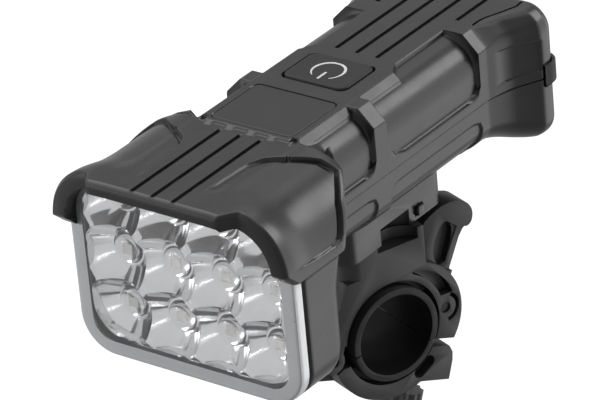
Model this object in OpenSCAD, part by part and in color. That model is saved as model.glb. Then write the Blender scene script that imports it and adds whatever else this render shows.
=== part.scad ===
// Battery bike headlight with a visor, on a swivelling handlebar clamp.
// Frame: origin at the centre of the handlebar bore, the beam points to -Y and +Z is up.

/* [Handlebar clamp] */
// Diameter of the handlebar that the clamp holds
bar_d = 22.2; // [21:0.1:24]
// Width of the jaws along the bar
clamp_w = 22; // [21:0.5:26]
// Wall of the rubber liner
liner_t = 1.7; // [1.4:0.1:2.2]
// How far the liner stands out of the jaws on each side
liner_lip = 1.4; // [0.8:0.1:2]
// Height of the rib that locates the liner in the jaws
liner_rib = 1.4; // [1:0.1:1.8]
// Wall of the ring outside the liner
jaw_t = 3.2; // [2.8:0.1:4]
// Height of the saddle top above the bore centre
saddle_h = 27; // [26:0.25:30]
// Length of the saddle across the bar
saddle_l = 24; // [22:0.5:25]
// Turn of the clamp under the light, as photographed
swivel_rest = 20; // [0:1:40]
// Diameter of the hinge pin and of the pivot pin
pin_d = 3; // [2.6:0.1:3.4]
// Diameter of the clamp bolt
bolt_d = 4; // [3.6:0.1:4.4]
// Distance from the bolt's pivot to the top of the thumb nut
nut_drop = 26.6; // [25.5:0.1:30]
// Diameter of the thumb nut
nut_d = 11; // [9:0.5:12]
// Height of the thumb nut
nut_h = 7; // [5:0.5:9]

/* [Slide mount] */
// Length of the slide base
base_l = 42; // [40:0.5:46]
// Width of the slide base
base_w = 23; // [22:0.5:27]
// Height of the slide base
base_h = 14.2; // [13.6:0.1:17]
// Width of the rail's flange
rail_w = 16; // [14:0.5:17]
// Length of the rail
rail_l = 16.5; // [15:0.5:18]
// Thickness of the rail's flange
rail_t = 3.1; // [2.6:0.1:4]
// Diameter of the swivel screw
swivel_d = 5; // [4:0.1:6]
// Radius of the finger scoop beside the latch
scoop_r = 6.4; // [5:0.1:7]

/* [Light body] */
// Height of the battery body from its underside to the deck
body_h = 31.9; // [31:0.1:36]
// Width of the battery body at its recessed panels
body_w = 42.8; // [42:0.2:48]
// Depth of the recessed panels below the bands
panel_d = 1.1; // [0.6:0.1:1.6]
// Height of the parting line above the underside
part_h = 12.7; // [12:0.1:14]
// Wall of the shells
wall = 2; // [1.6:0.1:2.2]
// Width of the flared rear end
rear_w = 56.6; // [54:0.2:64]
// How far the flared rear end reaches below the body
rear_drop = 5; // [2:0.5:6]
// Distance from the swivel axis to the rear end
rear_reach = 50.5; // [49.5:0.5:56]
// Width of the raised deck
deck_w = 29; // [27:0.5:31]
// Spacing of the deck grooves
groove_pitch = 6.15; // [5:0.05:6.4]
// Width of a deck groove
groove_w = 1.6; // [1:0.1:2.2]
// Depth of a deck groove
groove_d = 0.7; // [0.4:0.1:1]

/* [Head] */
// Distance from the swivel axis to the front of the lens
front_reach = 71.8; // [71:0.2:78]
// Width of the lens
lens_w = 68; // [66:0.5:74]
// Height of the lens
lens_h = 52.2; // [51:0.2:56]
// Corner radius of the lens
lens_r = 10; // [7:0.5:12]
// Thickness of the lens
lens_t = 3; // [2.4:0.1:4]
// Spacing of the reflector cups
led_pitch = 15; // [14.6:0.1:15.4]
// Columns of reflector cups
led_cols = 4; // [3:1:4]
// Rows of reflector cups
led_rows = 3; // [2:1:3]
// Depth of a reflector cup
cup_d = 7; // [5.5:0.5:7.5]
// How far the visor's middle lip stands ahead of the lens
lip_reach = 9.1; // [7:0.1:11]
// Width of the visor's middle lip
lip_w = 38.6; // [34:0.2:42]
// How far the visor's ears stand ahead of the lens
ear_reach = 4.7; // [3:0.1:6]
// Width of an ear's front band
ear_t = 4.3; // [3.4:0.1:5]
// Height of the ears' lower ends above the parting line
ear_rise = 3.3; // [1:0.1:6]

/* [Controls] */
// Width of the power button
button_w = 19.2; // [16:0.2:20]
// Length of the power button
button_l = 14.4; // [12:0.2:15]
// Travel of the power button
button_travel = 0.8; // [0.5:0.1:1]
// Width of the display window
window_w = 24.6; // [22:0.2:26]
// Length of the display window
window_l = 19.6; // [17:0.2:20]
// Thickness of the display window
window_t = 1.2; // [0.8:0.1:1.4]
// Diameter of a battery cell
cell_d = 18.4; // [18:0.1:18.6]
// Length of a battery cell
cell_l = 65; // [60:0.5:66]

/* [Hidden] */
$fn = 64;

// Clearances: pressed seats, running fits and free gaps
seat_c = 0.02;
run_c = 0.05;
fit_c = 0.1;
gap_c = 0.3;
// Reach of a cut past the faces that it opens
over = 1;
// A slice this thin is the end of a tapered stretch
skin = 0.01;

// Clamp radii, from the bore outwards
bore_r = bar_d / 2;
liner_r = bore_r + liner_t;
rib_r = liner_r + liner_rib;
jaw_r = rib_r + fit_c;
ring_r = jaw_r + jaw_t;
lower_r = jaw_r + jaw_t + 1;
rib_half = clamp_w / 2 - 2.5;

// Front hinge of the jaws, in the clamp's own plane: x across the bar, y up
knuckle_r = pin_d / 2 + 1.8;
hinge_wall = 0.9;
hinge_p = [-(jaw_r + knuckle_r + hinge_wall), -1.7];
knuckle_half = 4.9;
hinge_gap = 0.3;
upper_end_z = -2.2;
lower_end_z = -4.6;

// Rear pivot of the bolt and the lever
pivot_wall = 0.5;
pivot_p = [jaw_r + pin_d / 2 + pivot_wall, 1.2];
hub_r = pin_d / 2 + 1.4;
cheek_rim = 5.1;
cheek_r = 16.2;
cheek_p = [pivot_p[0] + cheek_rim - cheek_r, pivot_p[1]];
slot_half = 5.3;
bolt_tilt = 17;
jaw_gap_top = 8.6;
jaw_gap = 2.2;
lug_l = 9.4;
lug_back = 5.6;
eye_half = 1.9;
lever_half = slot_half - 0.2;
arm_half = 3.7;
arm_shift = 0.85;
lever_rise = 24.6;
pocket_d = 3;
nut_over = 2;

// Saddle and swivel
saddle_front = 12.5;
saddle_side = 8.5;
saddle_r = 4.5;
saddle_back = saddle_l - saddle_front;
swivel_r = swivel_d / 2;
swivel_nut_h = 4;
swivel_nut_w = swivel_d * 1.6;
swivel_head_h = 3;
swivel_head_r = swivel_r + 2;
washer_t = 1;
base_floor = 4;

// Heights of the slide mount and the light, from the bore centre up
base_z = saddle_h + gap_c;
base_top = base_z + base_h;
light_z = base_top + gap_c;
rail_z = base_z + base_floor + washer_t + swivel_head_h + 3 * fit_c + gap_c;
rail_y = [base_l / 2 - 3.3 - rail_l, base_l / 2 - 3.3];
rail_mid = (rail_y[0] + rail_y[1]) / 2;
rail_neck = 10;
latch_y = swivel_head_r + 3.5;
latch_w = 3;
latch_h = 2.5;
latch_z = base_z + 1.2;
scoop_p = [base_w / 2 + 1.5, -1];
scoop_h = 4.6;

deck_z = light_z + body_h;
panel_z = deck_z - panel_d;
part_z = light_z + part_h;
body_chamfer = 4.2;
body_corner = 5.9;
head_back_top = 17.8;
head_back_low = 14.3;
neck_end = 27.8;

// Places along the beam, from the swivel axis
lens_y = -front_reach;
lens_back = lens_y + lens_t;
head_top_y = lens_y + head_back_top;
head_low_y = lens_y + head_back_low;
neck_y = lens_y + neck_end;
band_w = 5.5;
neck_band = [neck_y - 4.8, neck_y + 0.5];
mid_band = [-22, -22 + band_w];
rear_band = [rear_reach - 28.5, rear_reach - 22];
flare_y = rear_band[1];
flare_mid = rear_reach - 12.5;
flare_end = rear_reach - 4.5;
mid_flare_w = body_w + 0.25 * (rear_w - body_w);

// Head outline
lens_top = deck_z - 2.5;
lens_low = lens_top - lens_h;
lens_z = (lens_top + lens_low) / 2;
head_w = lens_w + 3.2;
neck_spread = 0.42 * (head_w - body_w) + 1.6;
head_r = 14;
head_top = deck_z - 0.5;
lens_fit = 0.2;
seal_t = 0.5;
seal_w = 1.4;
shell_front = lens_back + seal_t;

// Optics
cup_r = led_pitch / 2 - 0.1;
cup_mouth_y = lens_back + 0.2;
reflector_t = cup_d + 1;
led_z = lens_z + 0.9;
board_y = cup_mouth_y + reflector_t + fit_c;
board_t = 1.6;
lens_border = 3;
reflector_w = lens_w - 2 * lens_border;
reflector_h = lens_h - 2 * lens_border - 0.2;
board_inset = 0.75;
board_r = 5;
chip_w = 3.4;
chip_h = 1.6;
sink_w = reflector_w - 22;
sink_h = reflector_h - 18;
sink_plate = 2;
sink_depth = 7;

// Display and button
housing_rise = 0.6;
housing_z = deck_z + housing_rise;
housing_y = [-42.5, mid_band[1]];
housing_chamfer = 2.7;
window_y = housing_y[0] + 2 + window_l / 2;
button_y = mid_band[1] + 1.5 + button_l / 2;
pad_end = button_y + button_l / 2 + 1.6;
roof_z = panel_z - wall;
flange_t = 1;
window_ledge = 2;
window_sunk = 0.4;
display_inset = 3;
comb_teeth = 5;
comb_w = 3.4;
comb_l = 2;

// Inside the body
cell_gap = 0.8;
cell_z = light_z + wall + 1 + cell_d / 2;
port_y = rear_reach - wall;
port_l = 12;
cell_end = port_y - port_l - 2.5;
cell_front = cell_end - cell_l;
cell_y = (cell_end + cell_front) / 2;
main_z = cell_z + cell_d / 2 + 1.1;
main_y = [housing_y[0] + 4, cell_end - 5];
main_w = 34;
main_front = 22;
main_l = main_y[1] - cell_front + 2;
switch_w = 6;
post_r = 2;
boss_r = 3.2;
screw_r = 1.3;
screw_head_r = 2.6;
screw_at = [[15, cell_front - 6.5], [17.5, rear_reach - 10.5]];
port_z = light_z + 8.1;
port_w = 12;
port_board_w = 20;
port_h = 6;
flap_t = 1.4;
flap_x = -14;
flap_h = 6;
flap_z = part_z - 2.1;
tab_l = 5;

// Places a flat outline, drawn as x and height, between two places along the beam
module along(y0, y1) {
  translate([0, y1, 0])
    rotate([90, 0, 0])
      linear_extrude(y1 - y0)
        children();
}

// A thin slice of an outline, for the end of a tapered stretch
module slice(y) {
  along(y, y + skin)
    children();
}

// Turns the clamp's own frame to its place under the light
module clamp_frame() {
  rotate([0, 0, -swivel_rest])
    children();
}

// Extrudes an outline of the clamp, drawn as place across the bar and height, along the bar
module across(w) {
  rotate([90, 0, 90])
    linear_extrude(w, center = true)
      children();
}

// The same between two places along the bar, on both sides
module both_sides(x0, x1) {
  for (s = [-1, 1])
    translate([s * (x0 + x1) / 2, 0, 0])
      across(x1 - x0)
        children();
}

// Frame of the clamp bolt: -Y runs down the bolt from its pivot
module bolt_plane() {
  translate(pivot_p)
    rotate(-bolt_tilt)
      children();
}

// Rectangle from its lowest to its highest corner
module box2(low, high) {
  translate(low)
    square(high - low);
}

// Box from its lowest to its highest corner
module box3(low, high) {
  translate(low)
    cube(high - low);
}

// Rectangle with round corners, about its centre
module round_rect(w, h, r) {
  square([w, h - 2 * r], center = true);
  square([w - 2 * r, h], center = true);
  for (x = [-1, 1], y = [-1, 1])
    translate([x * (w / 2 - r), y * (h / 2 - r)])
      circle(r);
}

// Sector of a ring between two angles
module ring_sector(r0, r1, a0, a1) {
  steps = ceil((a1 - a0) / 30);
  fan = [for (i = [0:steps]) let (a = a0 + (a1 - a0) * i / steps) 2 * r1 * [cos(a), sin(a)]];
  difference() {
    intersection() {
      circle(r1);
      polygon(concat([[0, 0]], fan));
    }
    circle(r0);
  }
}

// Upper outline of the head, inset by t
module head_top_2d(t = 0) {
  side = head_w / 2 - t;
  cx = head_w / 2 - head_r;
  cz = head_top - head_r;
  box2([-side, part_z], [side, cz]);
  box2([-cx, part_z], [cx, head_top - t]);
  intersection() {
    box2([-side, part_z], [side, head_top]);
    for (s = [-1, 1])
      translate([s * cx, cz])
        circle(head_r - t);
  }
}

// Lower outline of the head, inset by t
module head_low_2d(t = 0) {
  side = lens_w / 2 - t;
  cx = lens_w / 2 - lens_r;
  cz = lens_low + lens_r;
  box2([-side, cz], [side, part_z]);
  box2([-cx, lens_low + t], [cx, part_z]);
  for (s = [-1, 1])
    translate([s * cx, cz])
      circle(lens_r - t);
}

// Upper outline of the body, inset by t, for a body of width w
module body_top_2d(t = 0, w = body_w) {
  side = w / 2 - t;
  c = body_chamfer + 0.4 * abs(t);
  top = panel_z - t;
  polygon([[-side, part_z], [side, part_z], [side, top - c], [side - c, top],
    [c - side, top], [-side, top - c]]);
}

// Lower outline of the body, inset by t, for a body of width w that reaches down by drop
module body_low_2d(t = 0, w = body_w, drop = 0) {
  side = w / 2 - t;
  cx = w / 2 - body_corner;
  low = light_z - drop;
  cz = low + body_corner;
  box2([-side, cz], [side, part_z]);
  box2([-cx, low + t], [cx, part_z]);
  for (s = [-1, 1])
    translate([s * cx, cz])
      circle(body_corner - t, $fn = 32);
}

// Outside or inside of the top shell, inset by t, with its ends drawn in by t
module top_form(t = 0) {
  along(shell_front, head_top_y - t)
    head_top_2d(t);
  hull() {
    slice(head_top_y - t - skin)
      head_top_2d(t, $fn = 32);
    slice(neck_y)
      body_top_2d(t);
  }
  along(neck_y, flare_y)
    body_top_2d(t);
  hull() {
    slice(flare_y - skin)
      body_top_2d(t);
    slice(flare_mid)
      body_top_2d(t, mid_flare_w);
  }
  hull() {
    slice(flare_mid)
      body_top_2d(t, mid_flare_w);
    slice(flare_end)
      body_top_2d(t, rear_w);
  }
  along(flare_end, rear_reach - t)
    body_top_2d(t, rear_w);
}

// Outside or inside of the bottom shell
module low_form(t = 0) {
  along(shell_front, head_low_y - t)
    head_low_2d(t);
  hull() {
    slice(head_low_y - t - skin)
      head_low_2d(t, $fn = 32);
    slice(neck_y)
      body_low_2d(t);
  }
  along(neck_y, flare_y)
    body_low_2d(t);
  hull() {
    slice(flare_y - skin)
      body_low_2d(t);
    slice(flare_mid)
      body_low_2d(t, mid_flare_w, rear_drop / 2);
  }
  hull() {
    slice(flare_mid)
      body_low_2d(t, mid_flare_w, rear_drop / 2);
    slice(flare_end)
      body_low_2d(t, rear_w, rear_drop);
  }
  along(flare_end, rear_reach - t)
    body_low_2d(t, rear_w, rear_drop);
}

// Raised band of the top shell
module top_band(span) {
  along(span[0], span[1])
    body_top_2d(-panel_d);
}

// Raised ridge behind the shoulders, which narrows with the neck
module neck_ridge() {
  hull() {
    slice(neck_band[0])
      body_top_2d(-panel_d, body_w + neck_spread);
    slice(neck_band[1])
      body_top_2d(-panel_d);
  }
}

// Visor: middle lip and the ears round the upper corners of the lens
module visor() {
  inner_x = head_w / 2 - head_r;
  inner_z = head_top - head_r;
  along(lens_y - ear_reach, shell_front)
    difference() {
      head_top_2d();
      box2([-head_w, part_z - over], [head_w, part_z + ear_rise]);
      box2([ear_t - head_w / 2, part_z - over], [head_w / 2 - ear_t, inner_z]);
      box2([-inner_x, part_z], [inner_x, head_top - ear_t]);
      for (s = [-1, 1])
        translate([s * inner_x, inner_z])
          circle(head_r - ear_t);
    }
  along(lens_y - lip_reach, shell_front)
    box2([-lip_w / 2, head_top - 3], [lip_w / 2, head_top]);
}

// Grooves of the deck between two places, on both sides of the middle
module grooves(y0, y1, count) {
  for (i = [-count:count])
    translate([i * groove_pitch, 0, deck_z - groove_d]) {
      box3([-groove_w / 2, y0, 0], [groove_w / 2, y1, over + groove_d]);
      for (y = [y0, y1])
        translate([0, y, 0])
          cylinder(d = groove_w, h = over + groove_d);
    }
}

// Raised display housing and button surround, with the comb at its front
module deck_housing() {
  top = deck_w / 2;
  along(housing_y[0], pad_end)
    polygon([[-top - housing_chamfer, panel_z - over], [top + housing_chamfer, panel_z - over],
      [top + housing_chamfer, panel_z], [top, housing_z], [-top, housing_z],
      [-top - housing_chamfer, panel_z]]);
  for (i = [0:comb_teeth - 1])
    translate([(i - (comb_teeth - 1) / 2) * groove_pitch - comb_w / 2, housing_y[0] - comb_l, panel_z])
      cube([comb_w, comb_l + over, housing_z - panel_z]);
}

// Rectangle with round corners on the deck, from one height to another
module deck_block(w, l, y, z0, z1, r = 1.5) {
  translate([0, y, z0])
    linear_extrude(z1 - z0)
      round_rect(w, l, r);
}

// Places of the screws that join the shells
module at_screws() {
  for (p = screw_at, s = [-1, 1])
    translate([s * p[0], p[1], 0])
      children();
}

// Places of the posts that carry the main board
module at_posts() {
  for (x = [-1, 1], y = [main_y[1] - main_l + 3, main_y[1] - 3])
    translate([x * (main_w / 2 - 3), y, 0])
      children();
}

module top_shell() {
  color("#2b2b2d")
    difference() {
      union() {
        difference() {
          union() {
            top_form();
            visor();
            neck_ridge();
            top_band(mid_band);
            top_band(rear_band);
            for (s = [-1, 1])
              box3([s * (body_w / 2 + panel_d / 2) - panel_d, neck_band[0], part_z],
                [s * (body_w / 2 + panel_d / 2) + panel_d / 2 , rear_band[1], part_z + 3]);
            along(lens_y - lip_reach, rear_reach)
              box2([-deck_w / 2, panel_z - over], [deck_w / 2, deck_z]);
            deck_housing();
          }
          top_form(wall);
          along(lens_y - fit_c, shell_front + fit_c)
            translate([0, lens_z])
              round_rect(lens_w + 2 * lens_fit, lens_h + 2 * lens_fit, lens_r + lens_fit);
          grooves(lens_y - lip_reach + 2, housing_y[0] - comb_l - 1, 1);
          grooves(pad_end + 3.5, rear_reach + over, 2);
        }
        at_screws()
          translate([0, 0, part_z])
            cylinder(r = boss_r, h = panel_z - wall / 2 - part_z);
        at_posts()
          translate([0, 0, main_z + board_t])
            cylinder(r = post_r, h = panel_z - wall / 2 - main_z - board_t);
      }
      deck_block(window_w + 2 * fit_c, window_l + 2 * fit_c, window_y, housing_z - window_t - window_sunk,
        housing_z + over);
      deck_block(window_w - 2 * window_ledge, window_l - 2 * window_ledge, window_y, roof_z - over,
        housing_z);
      deck_block(button_w + gap_c, button_l + gap_c, button_y, roof_z - over, housing_z + over);
      at_screws()
        translate([0, 0, part_z - over])
          cylinder(r = screw_r + seat_c, h = 9 + over);
    }
}

module bottom_shell() {
  color("#2b2b2d")
    difference() {
      union() {
        difference() {
          union() {
            low_form();
            for (b = [mid_band, rear_band])
              along(b[0], b[1])
                intersection() {
                  body_low_2d(-panel_d * 0.6);
                  box2([-body_w, light_z], [body_w, part_z]);
                }
          }
          low_form(wall);
          translate([0, 0, port_z])
            box3([-port_w / 2, port_y - over, -port_h / 2], [port_w / 2, rear_reach + over, port_h / 2]);
        }
        at_screws()
          translate([0, 0, light_z + wall / 2])
            cylinder(r = boss_r, h = part_z - light_z - wall / 2);
        for (s = [-1, 1])
          translate([s * screw_at[1][0], screw_at[1][1], light_z - rear_drop / 2])
            cylinder(r = boss_r, h = part_z - light_z);
        for (s = [-1, 1])
          translate([s * 8, port_y - 9, light_z - rear_drop / 2])
            cylinder(r = post_r, h = port_z - 3.3 - light_z + rear_drop / 2);
      }
      at_screws() {
        translate([0, 0, light_z])
          cylinder(r = screw_r + fit_c, h = part_h + over);
        translate([0, 0, light_z - rear_drop - over])
          cylinder(r = screw_head_r + fit_c, h = rear_drop + 4 + over);
      }
      for (y = [-1, 1])
        translate([0, rail_mid + y * rail_l / 4, light_z - over])
          cylinder(r = screw_r + fit_c, h = wall + 2 * over);
    }
}

module front_lens() {
  color("#dfe6ea", 0.4) {
    along(lens_y, lens_back)
      translate([0, lens_z])
        round_rect(lens_w, lens_h, lens_r);
  }
}

module lens_seal() {
  color("#1a1a1a")
    along(lens_back, shell_front)
      translate([0, lens_z])
        difference() {
          round_rect(lens_w - 0.4, lens_h - 0.4, lens_r - 0.2);
          round_rect(lens_w - 2 * seal_w, lens_h - 2 * seal_w, lens_r - seal_w);
        }
}

// Places of the reflector cups on the optic's own plane
module at_cups() {
  for (i = [0:led_cols - 1], j = [0:led_rows - 1])
    translate([(i - (led_cols - 1) / 2) * led_pitch, 0, led_z + (j - (led_rows - 1) / 2) * led_pitch])
      children();
}

// One parabolic cup, with its mouth at the front
module cup() {
  throat = 2.6;
  steps = 7;
  k = (cup_r - throat) / sqrt(cup_d);
  curve = [for (i = [0:steps]) let (d = cup_d * pow(i / steps, 2)) [throat + k * sqrt(d), d]];
  rotate([90, 0, 0])
    rotate_extrude()
      polygon(concat([[0, -2], [throat, -2]], curve, [[cup_r, cup_d + over], [0, cup_d + over]]));
}

module reflector() {
  color("#d8dadd")
    difference() {
      along(cup_mouth_y, cup_mouth_y + reflector_t)
        translate([0, led_z])
          round_rect(reflector_w, reflector_h, led_pitch / 2);
      at_cups()
        translate([0, cup_mouth_y + cup_d, 0])
          cup();
    }
}

module led_board() {
  color("#e8e8e2")
    along(board_y, board_y + board_t)
      translate([0, led_z])
        round_rect(reflector_w - 2 * board_inset, reflector_h - 2 * board_inset, board_r);
}

module led_chips() {
  color("#f2e27a")
    at_cups()
      box3([-chip_w / 2, board_y - chip_h, -chip_w / 2], [chip_w / 2, board_y, chip_w / 2]);
}

module heat_sink() {
  fins = 6;
  color("#a9adb2") {
    translate([0, board_y + board_t, led_z + 4]) {
      box3([-sink_w / 2, 0, -sink_h / 2], [sink_w / 2, sink_plate, sink_h / 2]);
      for (i = [0:fins - 1])
        translate([0, 0, -sink_h / 2 + (i + 0.5) * sink_h / fins])
          box3([-sink_w / 2, over, -0.8], [sink_w / 2, sink_depth, 0.8]);
    }
  }
}

module display_window() {
  color("#1b1c1f")
    deck_block(window_w, window_l, window_y, housing_z - window_t - window_sunk,
      housing_z - window_sunk);
}

module display_module() {
  color("#3c4043")
    deck_block(window_w - 2 * display_inset, window_l - 2 * display_inset, window_y,
      main_z + board_t, roof_z - gap_c, 1);
}

module main_board() {
  color("#1f5c3a")
    union() {
      box3([-main_w / 2, main_y[1] - main_l, main_z], [main_w / 2, main_y[1], main_z + board_t]);
      box3([-main_front / 2, main_y[0], main_z], [main_front / 2, main_y[1], main_z + board_t]);
    }
}

module tact_switch() {
  color("#555a5e")
    deck_block(switch_w, switch_w, button_y, main_z + board_t,
      roof_z - flange_t - 0.2 - button_travel - fit_c, 0.8);
}

module power_button() {
  color("#1c1c1e") {
    deck_block(button_w, button_l, button_y, roof_z - flange_t, housing_z - 0.5);
    deck_block(button_w + 2.6, button_l + 2.6, button_y, roof_z - 0.2 - flange_t, roof_z - 0.2);
  }
}

module battery_cells() {
  color("#3f6fb0")
    for (s = [-1, 1])
      translate([s * (cell_d + cell_gap) / 2, cell_y + cell_l / 2, cell_z])
        rotate([90, 0, 0])
          cylinder(d = cell_d, h = cell_l);
}

module battery_cradle() {
  low = light_z + wall;
  color("#4a4d50")
    difference() {
      box3([-body_w / 2 + body_corner, cell_y - cell_l / 2, low],
        [body_w / 2 - body_corner, cell_y + cell_l / 2, cell_z - 2]);
      for (s = [-1, 1])
        translate([s * (cell_d + cell_gap) / 2, cell_y + cell_l / 2 + over, cell_z])
          rotate([90, 0, 0])
            cylinder(d = cell_d + 2 * fit_c, h = cell_l + 2 * over);
      for (y = [-1, 1])
        translate([0, rail_mid + y * rail_l / 4, low - over])
          cylinder(r = screw_head_r + gap_c, h = part_h);
    }
}

module port_board() {
  color("#1f5c3a")
    box3([-port_board_w / 2, port_y - port_l, port_z - 3.3],
      [port_board_w / 2, port_y - gap_c, port_z - 3.3 + board_t]);
}

module usb_socket() {
  color("#c3c6c9")
    difference() {
      translate([0, port_y - gap_c, port_z])
        rotate([90, 0, 0])
          linear_extrude(7.4)
            round_rect(9, 3.4, 1.6);
      translate([0, port_y, port_z])
        rotate([90, 0, 0])
          linear_extrude(6)
            round_rect(8.2, 2.6, 1.25);
    }
}

module port_flap() {
  tab_x = rear_w / 2;
  back = rear_reach + fit_c;
  low = port_z - port_h / 2 - 1;
  color("#202022") {
    translate([flap_x, back + flap_t / 2, low])
      cylinder(d = flap_t, h = flap_z + flap_h - low);
    box3([flap_x, back, low], [-flap_x, back + flap_t, flap_z + flap_h]);
    box3([flap_x + over, back, flap_z], [tab_x + fit_c + flap_t, back + flap_t, flap_z + flap_h]);
    box3([tab_x + fit_c, rear_reach - tab_l, flap_z],
      [tab_x + fit_c + flap_t, back + flap_t, flap_z + flap_h]);
    box3([1 - port_w / 2, back - 1, port_z - port_h / 2 + 1],
      [port_w / 2 - 2, back + over, port_z + port_h / 2 - 1]);
  }
}

module shell_screws() {
  color("#8d9094")
    at_screws() {
      translate([0, 0, light_z + 1])
        cylinder(r = screw_head_r, h = 3);
      translate([0, 0, light_z + 2])
        cylinder(r = screw_r, h = part_h + 5);
    }
}

module mount_rail() {
  color("#262628")
    difference() {
      union() {
        box3([-rail_w / 2, rail_y[0], rail_z], [rail_w / 2, rail_y[1], rail_z + rail_t]);
        box3([-rail_neck / 2, rail_y[0], rail_z + over], [rail_neck / 2, rail_y[1], light_z]);
      }
      for (y = [-1, 1])
        translate([0, rail_mid + y * rail_l / 4, rail_z + rail_t / 2])
          cylinder(r = screw_r + seat_c, h = light_z - rail_z);
    }
}

module rail_screws() {
  color("#8d9094")
    for (y = [-1, 1])
      translate([0, rail_mid + y * rail_l / 4, 0]) {
        translate([0, 0, rail_z + rail_t / 2 + fit_c])
          cylinder(r = screw_r, h = light_z + wall - rail_z - rail_t / 2);
        translate([0, 0, light_z + wall])
          cylinder(r = screw_head_r, h = 1.6);
      }
}

module slide_base() {
  neck_z = rail_z + rail_t + gap_c;
  color("#262628")
    difference() {
      translate([0, 0, base_z])
        linear_extrude(base_h)
          round_rect(base_w, base_l, 4);
      box3([-rail_w / 2 - gap_c, rail_y[0] - gap_c, rail_z - gap_c],
        [rail_w / 2 + gap_c, base_l / 2 + over, neck_z]);
      box3([-rail_neck / 2 - gap_c, rail_y[0] - gap_c, rail_z],
        [rail_neck / 2 + gap_c, base_l / 2 + over, base_top + over]);
      translate([0, 0, base_z + base_floor])
        cylinder(r = swivel_head_r + 0.7, h = rail_z - base_z - base_floor);
      translate([0, 0, base_z - over])
        cylinder(r = swivel_r + run_c, h = base_floor + 2 * over);
      translate([scoop_p[0], scoop_p[1], base_z - over])
        cylinder(r = scoop_r, h = scoop_h + over);
      box3([-3, latch_y - gap_c, latch_z - gap_c],
        [base_w / 2 + over, latch_y + latch_w + gap_c, latch_z + latch_h + gap_c]);
      box3([-3, latch_y - gap_c, latch_z], [5 + gap_c, latch_y + latch_w + gap_c, rail_z]);
    }
}

module slide_latch() {
  color("#19191b") {
    box3([1, latch_y, latch_z], [base_w / 2 + 1, latch_y + latch_w, latch_z + latch_h]);
    box3([1, latch_y, latch_z + over], [4, latch_y + latch_w, rail_z - 2 * gap_c]);
  }
}

module swivel_screw() {
  top = base_z + base_floor + washer_t + 2 * fit_c;
  color("#8d9094") {
    translate([0, 0, jaw_r + 0.6])
      cylinder(r = swivel_r, h = top - jaw_r);
    translate([0, 0, top])
      cylinder(r = swivel_head_r, h = swivel_head_h);
  }
}

module swivel_washer() {
  color("#b4b7bb")
    translate([0, 0, base_z + base_floor + fit_c])
      difference() {
        cylinder(r = swivel_head_r, h = washer_t);
        translate([0, 0, -over])
          cylinder(r = swivel_r + fit_c, h = washer_t + 2 * over);
      }
}

module swivel_nut() {
  color("#8d9094")
    clamp_frame()
      translate([0, 0, jaw_r + 0.5])
        difference() {
          cylinder(r = swivel_nut_w / sqrt(3), h = swivel_nut_h, $fn = 6);
          translate([0, 0, -over])
            cylinder(r = swivel_r + seat_c, h = swivel_nut_h + 2 * over);
        }
}

// Side view of the upper jaw: half ring, front leg, saddle and rear cheek
module upper_jaw_2d() {
  translate(hinge_p)
    circle(knuckle_r);
  difference() {
    union() {
      circle(ring_r);
      polygon([[-saddle_front, saddle_h - saddle_side], [hinge_p[0] - knuckle_r + 0.4, hinge_p[1] + 2],
        hinge_p, [0, 0], [0, 16]]);
      box2([-saddle_front, 8], [saddle_back, saddle_h]);
      intersection() {
        translate(cheek_p)
          circle(cheek_r);
        box2([jaw_r / 2, -30], [jaw_r * 2, saddle_h - 8]);
      }
    }
    circle(jaw_r);
    box2([-jaw_r - hinge_wall - knuckle_r, -40], [jaw_r / 2, upper_end_z]);
    bolt_plane()
      box2([-30, -60], [30, -jaw_gap_top]);
  }
}

// Side view of the moulded pockets of the rear cheek
module cheek_pockets_2d() {
  intersection() {
    difference() {
      translate(cheek_p)
        circle(cheek_r - 2);
      circle(jaw_r + 1.7);
    }
    box2([jaw_r / 2, pivot_p[1] + 3.8], [jaw_r * 2, saddle_h - 9.5]);
  }
  translate(pivot_p)
    ring_sector(hub_r + 0.3, hub_r + 1.4, -80, 62);
}

// What is cut off to round the front corners of the saddle
module saddle_corners() {
  for (s = [-1, 1])
    translate([s * (clamp_w / 2 - saddle_r), saddle_r - saddle_front, saddle_h - saddle_side])
      difference() {
        translate([s > 0 ? 0 : -saddle_r - over, -saddle_r - over, 0])
          cube([saddle_r + over, saddle_r + over, saddle_side + over]);
        translate([0, 0, -over])
          cylinder(r = saddle_r, h = saddle_side + 3 * over);
      }
}

module upper_jaw() {
  color("#262628")
    clamp_frame()
      difference() {
        across(clamp_w)
          upper_jaw_2d();
        saddle_corners();
        across(2 * slot_half)
          difference() {
            box2([pivot_p[0] - 4.5, -30], [jaw_r * 2, saddle_h - 4]);
            circle(jaw_r + 1);
            box2([0, pivot_p[1] + 12], [saddle_back, saddle_h]);
          }
        across(2 * slot_half)
          translate(pivot_p)
            circle(hub_r + gap_c);
        across(bolt_d + 2 * gap_c)
          bolt_plane()
            box2([-bolt_d / 2 - gap_c, -60], [30, 0]);
        across(2 * knuckle_half + 2 * hinge_gap)
          box2([2 * hinge_p[0], -30], [hinge_p[0] + knuckle_r + 0.4, hinge_p[1] + knuckle_r + 0.8]);
        both_sides(clamp_w / 2 - pocket_d, clamp_w / 2 + over)
          cheek_pockets_2d();
        across(clamp_w + 2 * over) {
          translate(hinge_p)
            circle(pin_d / 2 + seat_c);
          translate(pivot_p)
            circle(pin_d / 2 + seat_c);
        }
        translate([0, 0, jaw_r - over])
          cylinder(r = swivel_r + fit_c, h = saddle_h);
        translate([0, 0, jaw_r - over])
          cylinder(r = swivel_nut_w / sqrt(3) + fit_c, h = swivel_nut_h + 1.6, $fn = 6);
        rotate([0, 0, swivel_rest])
          translate([scoop_p[0], scoop_p[1], saddle_h - 3])
            cylinder(r = scoop_r, h = 3 + over);
      }
}

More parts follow.
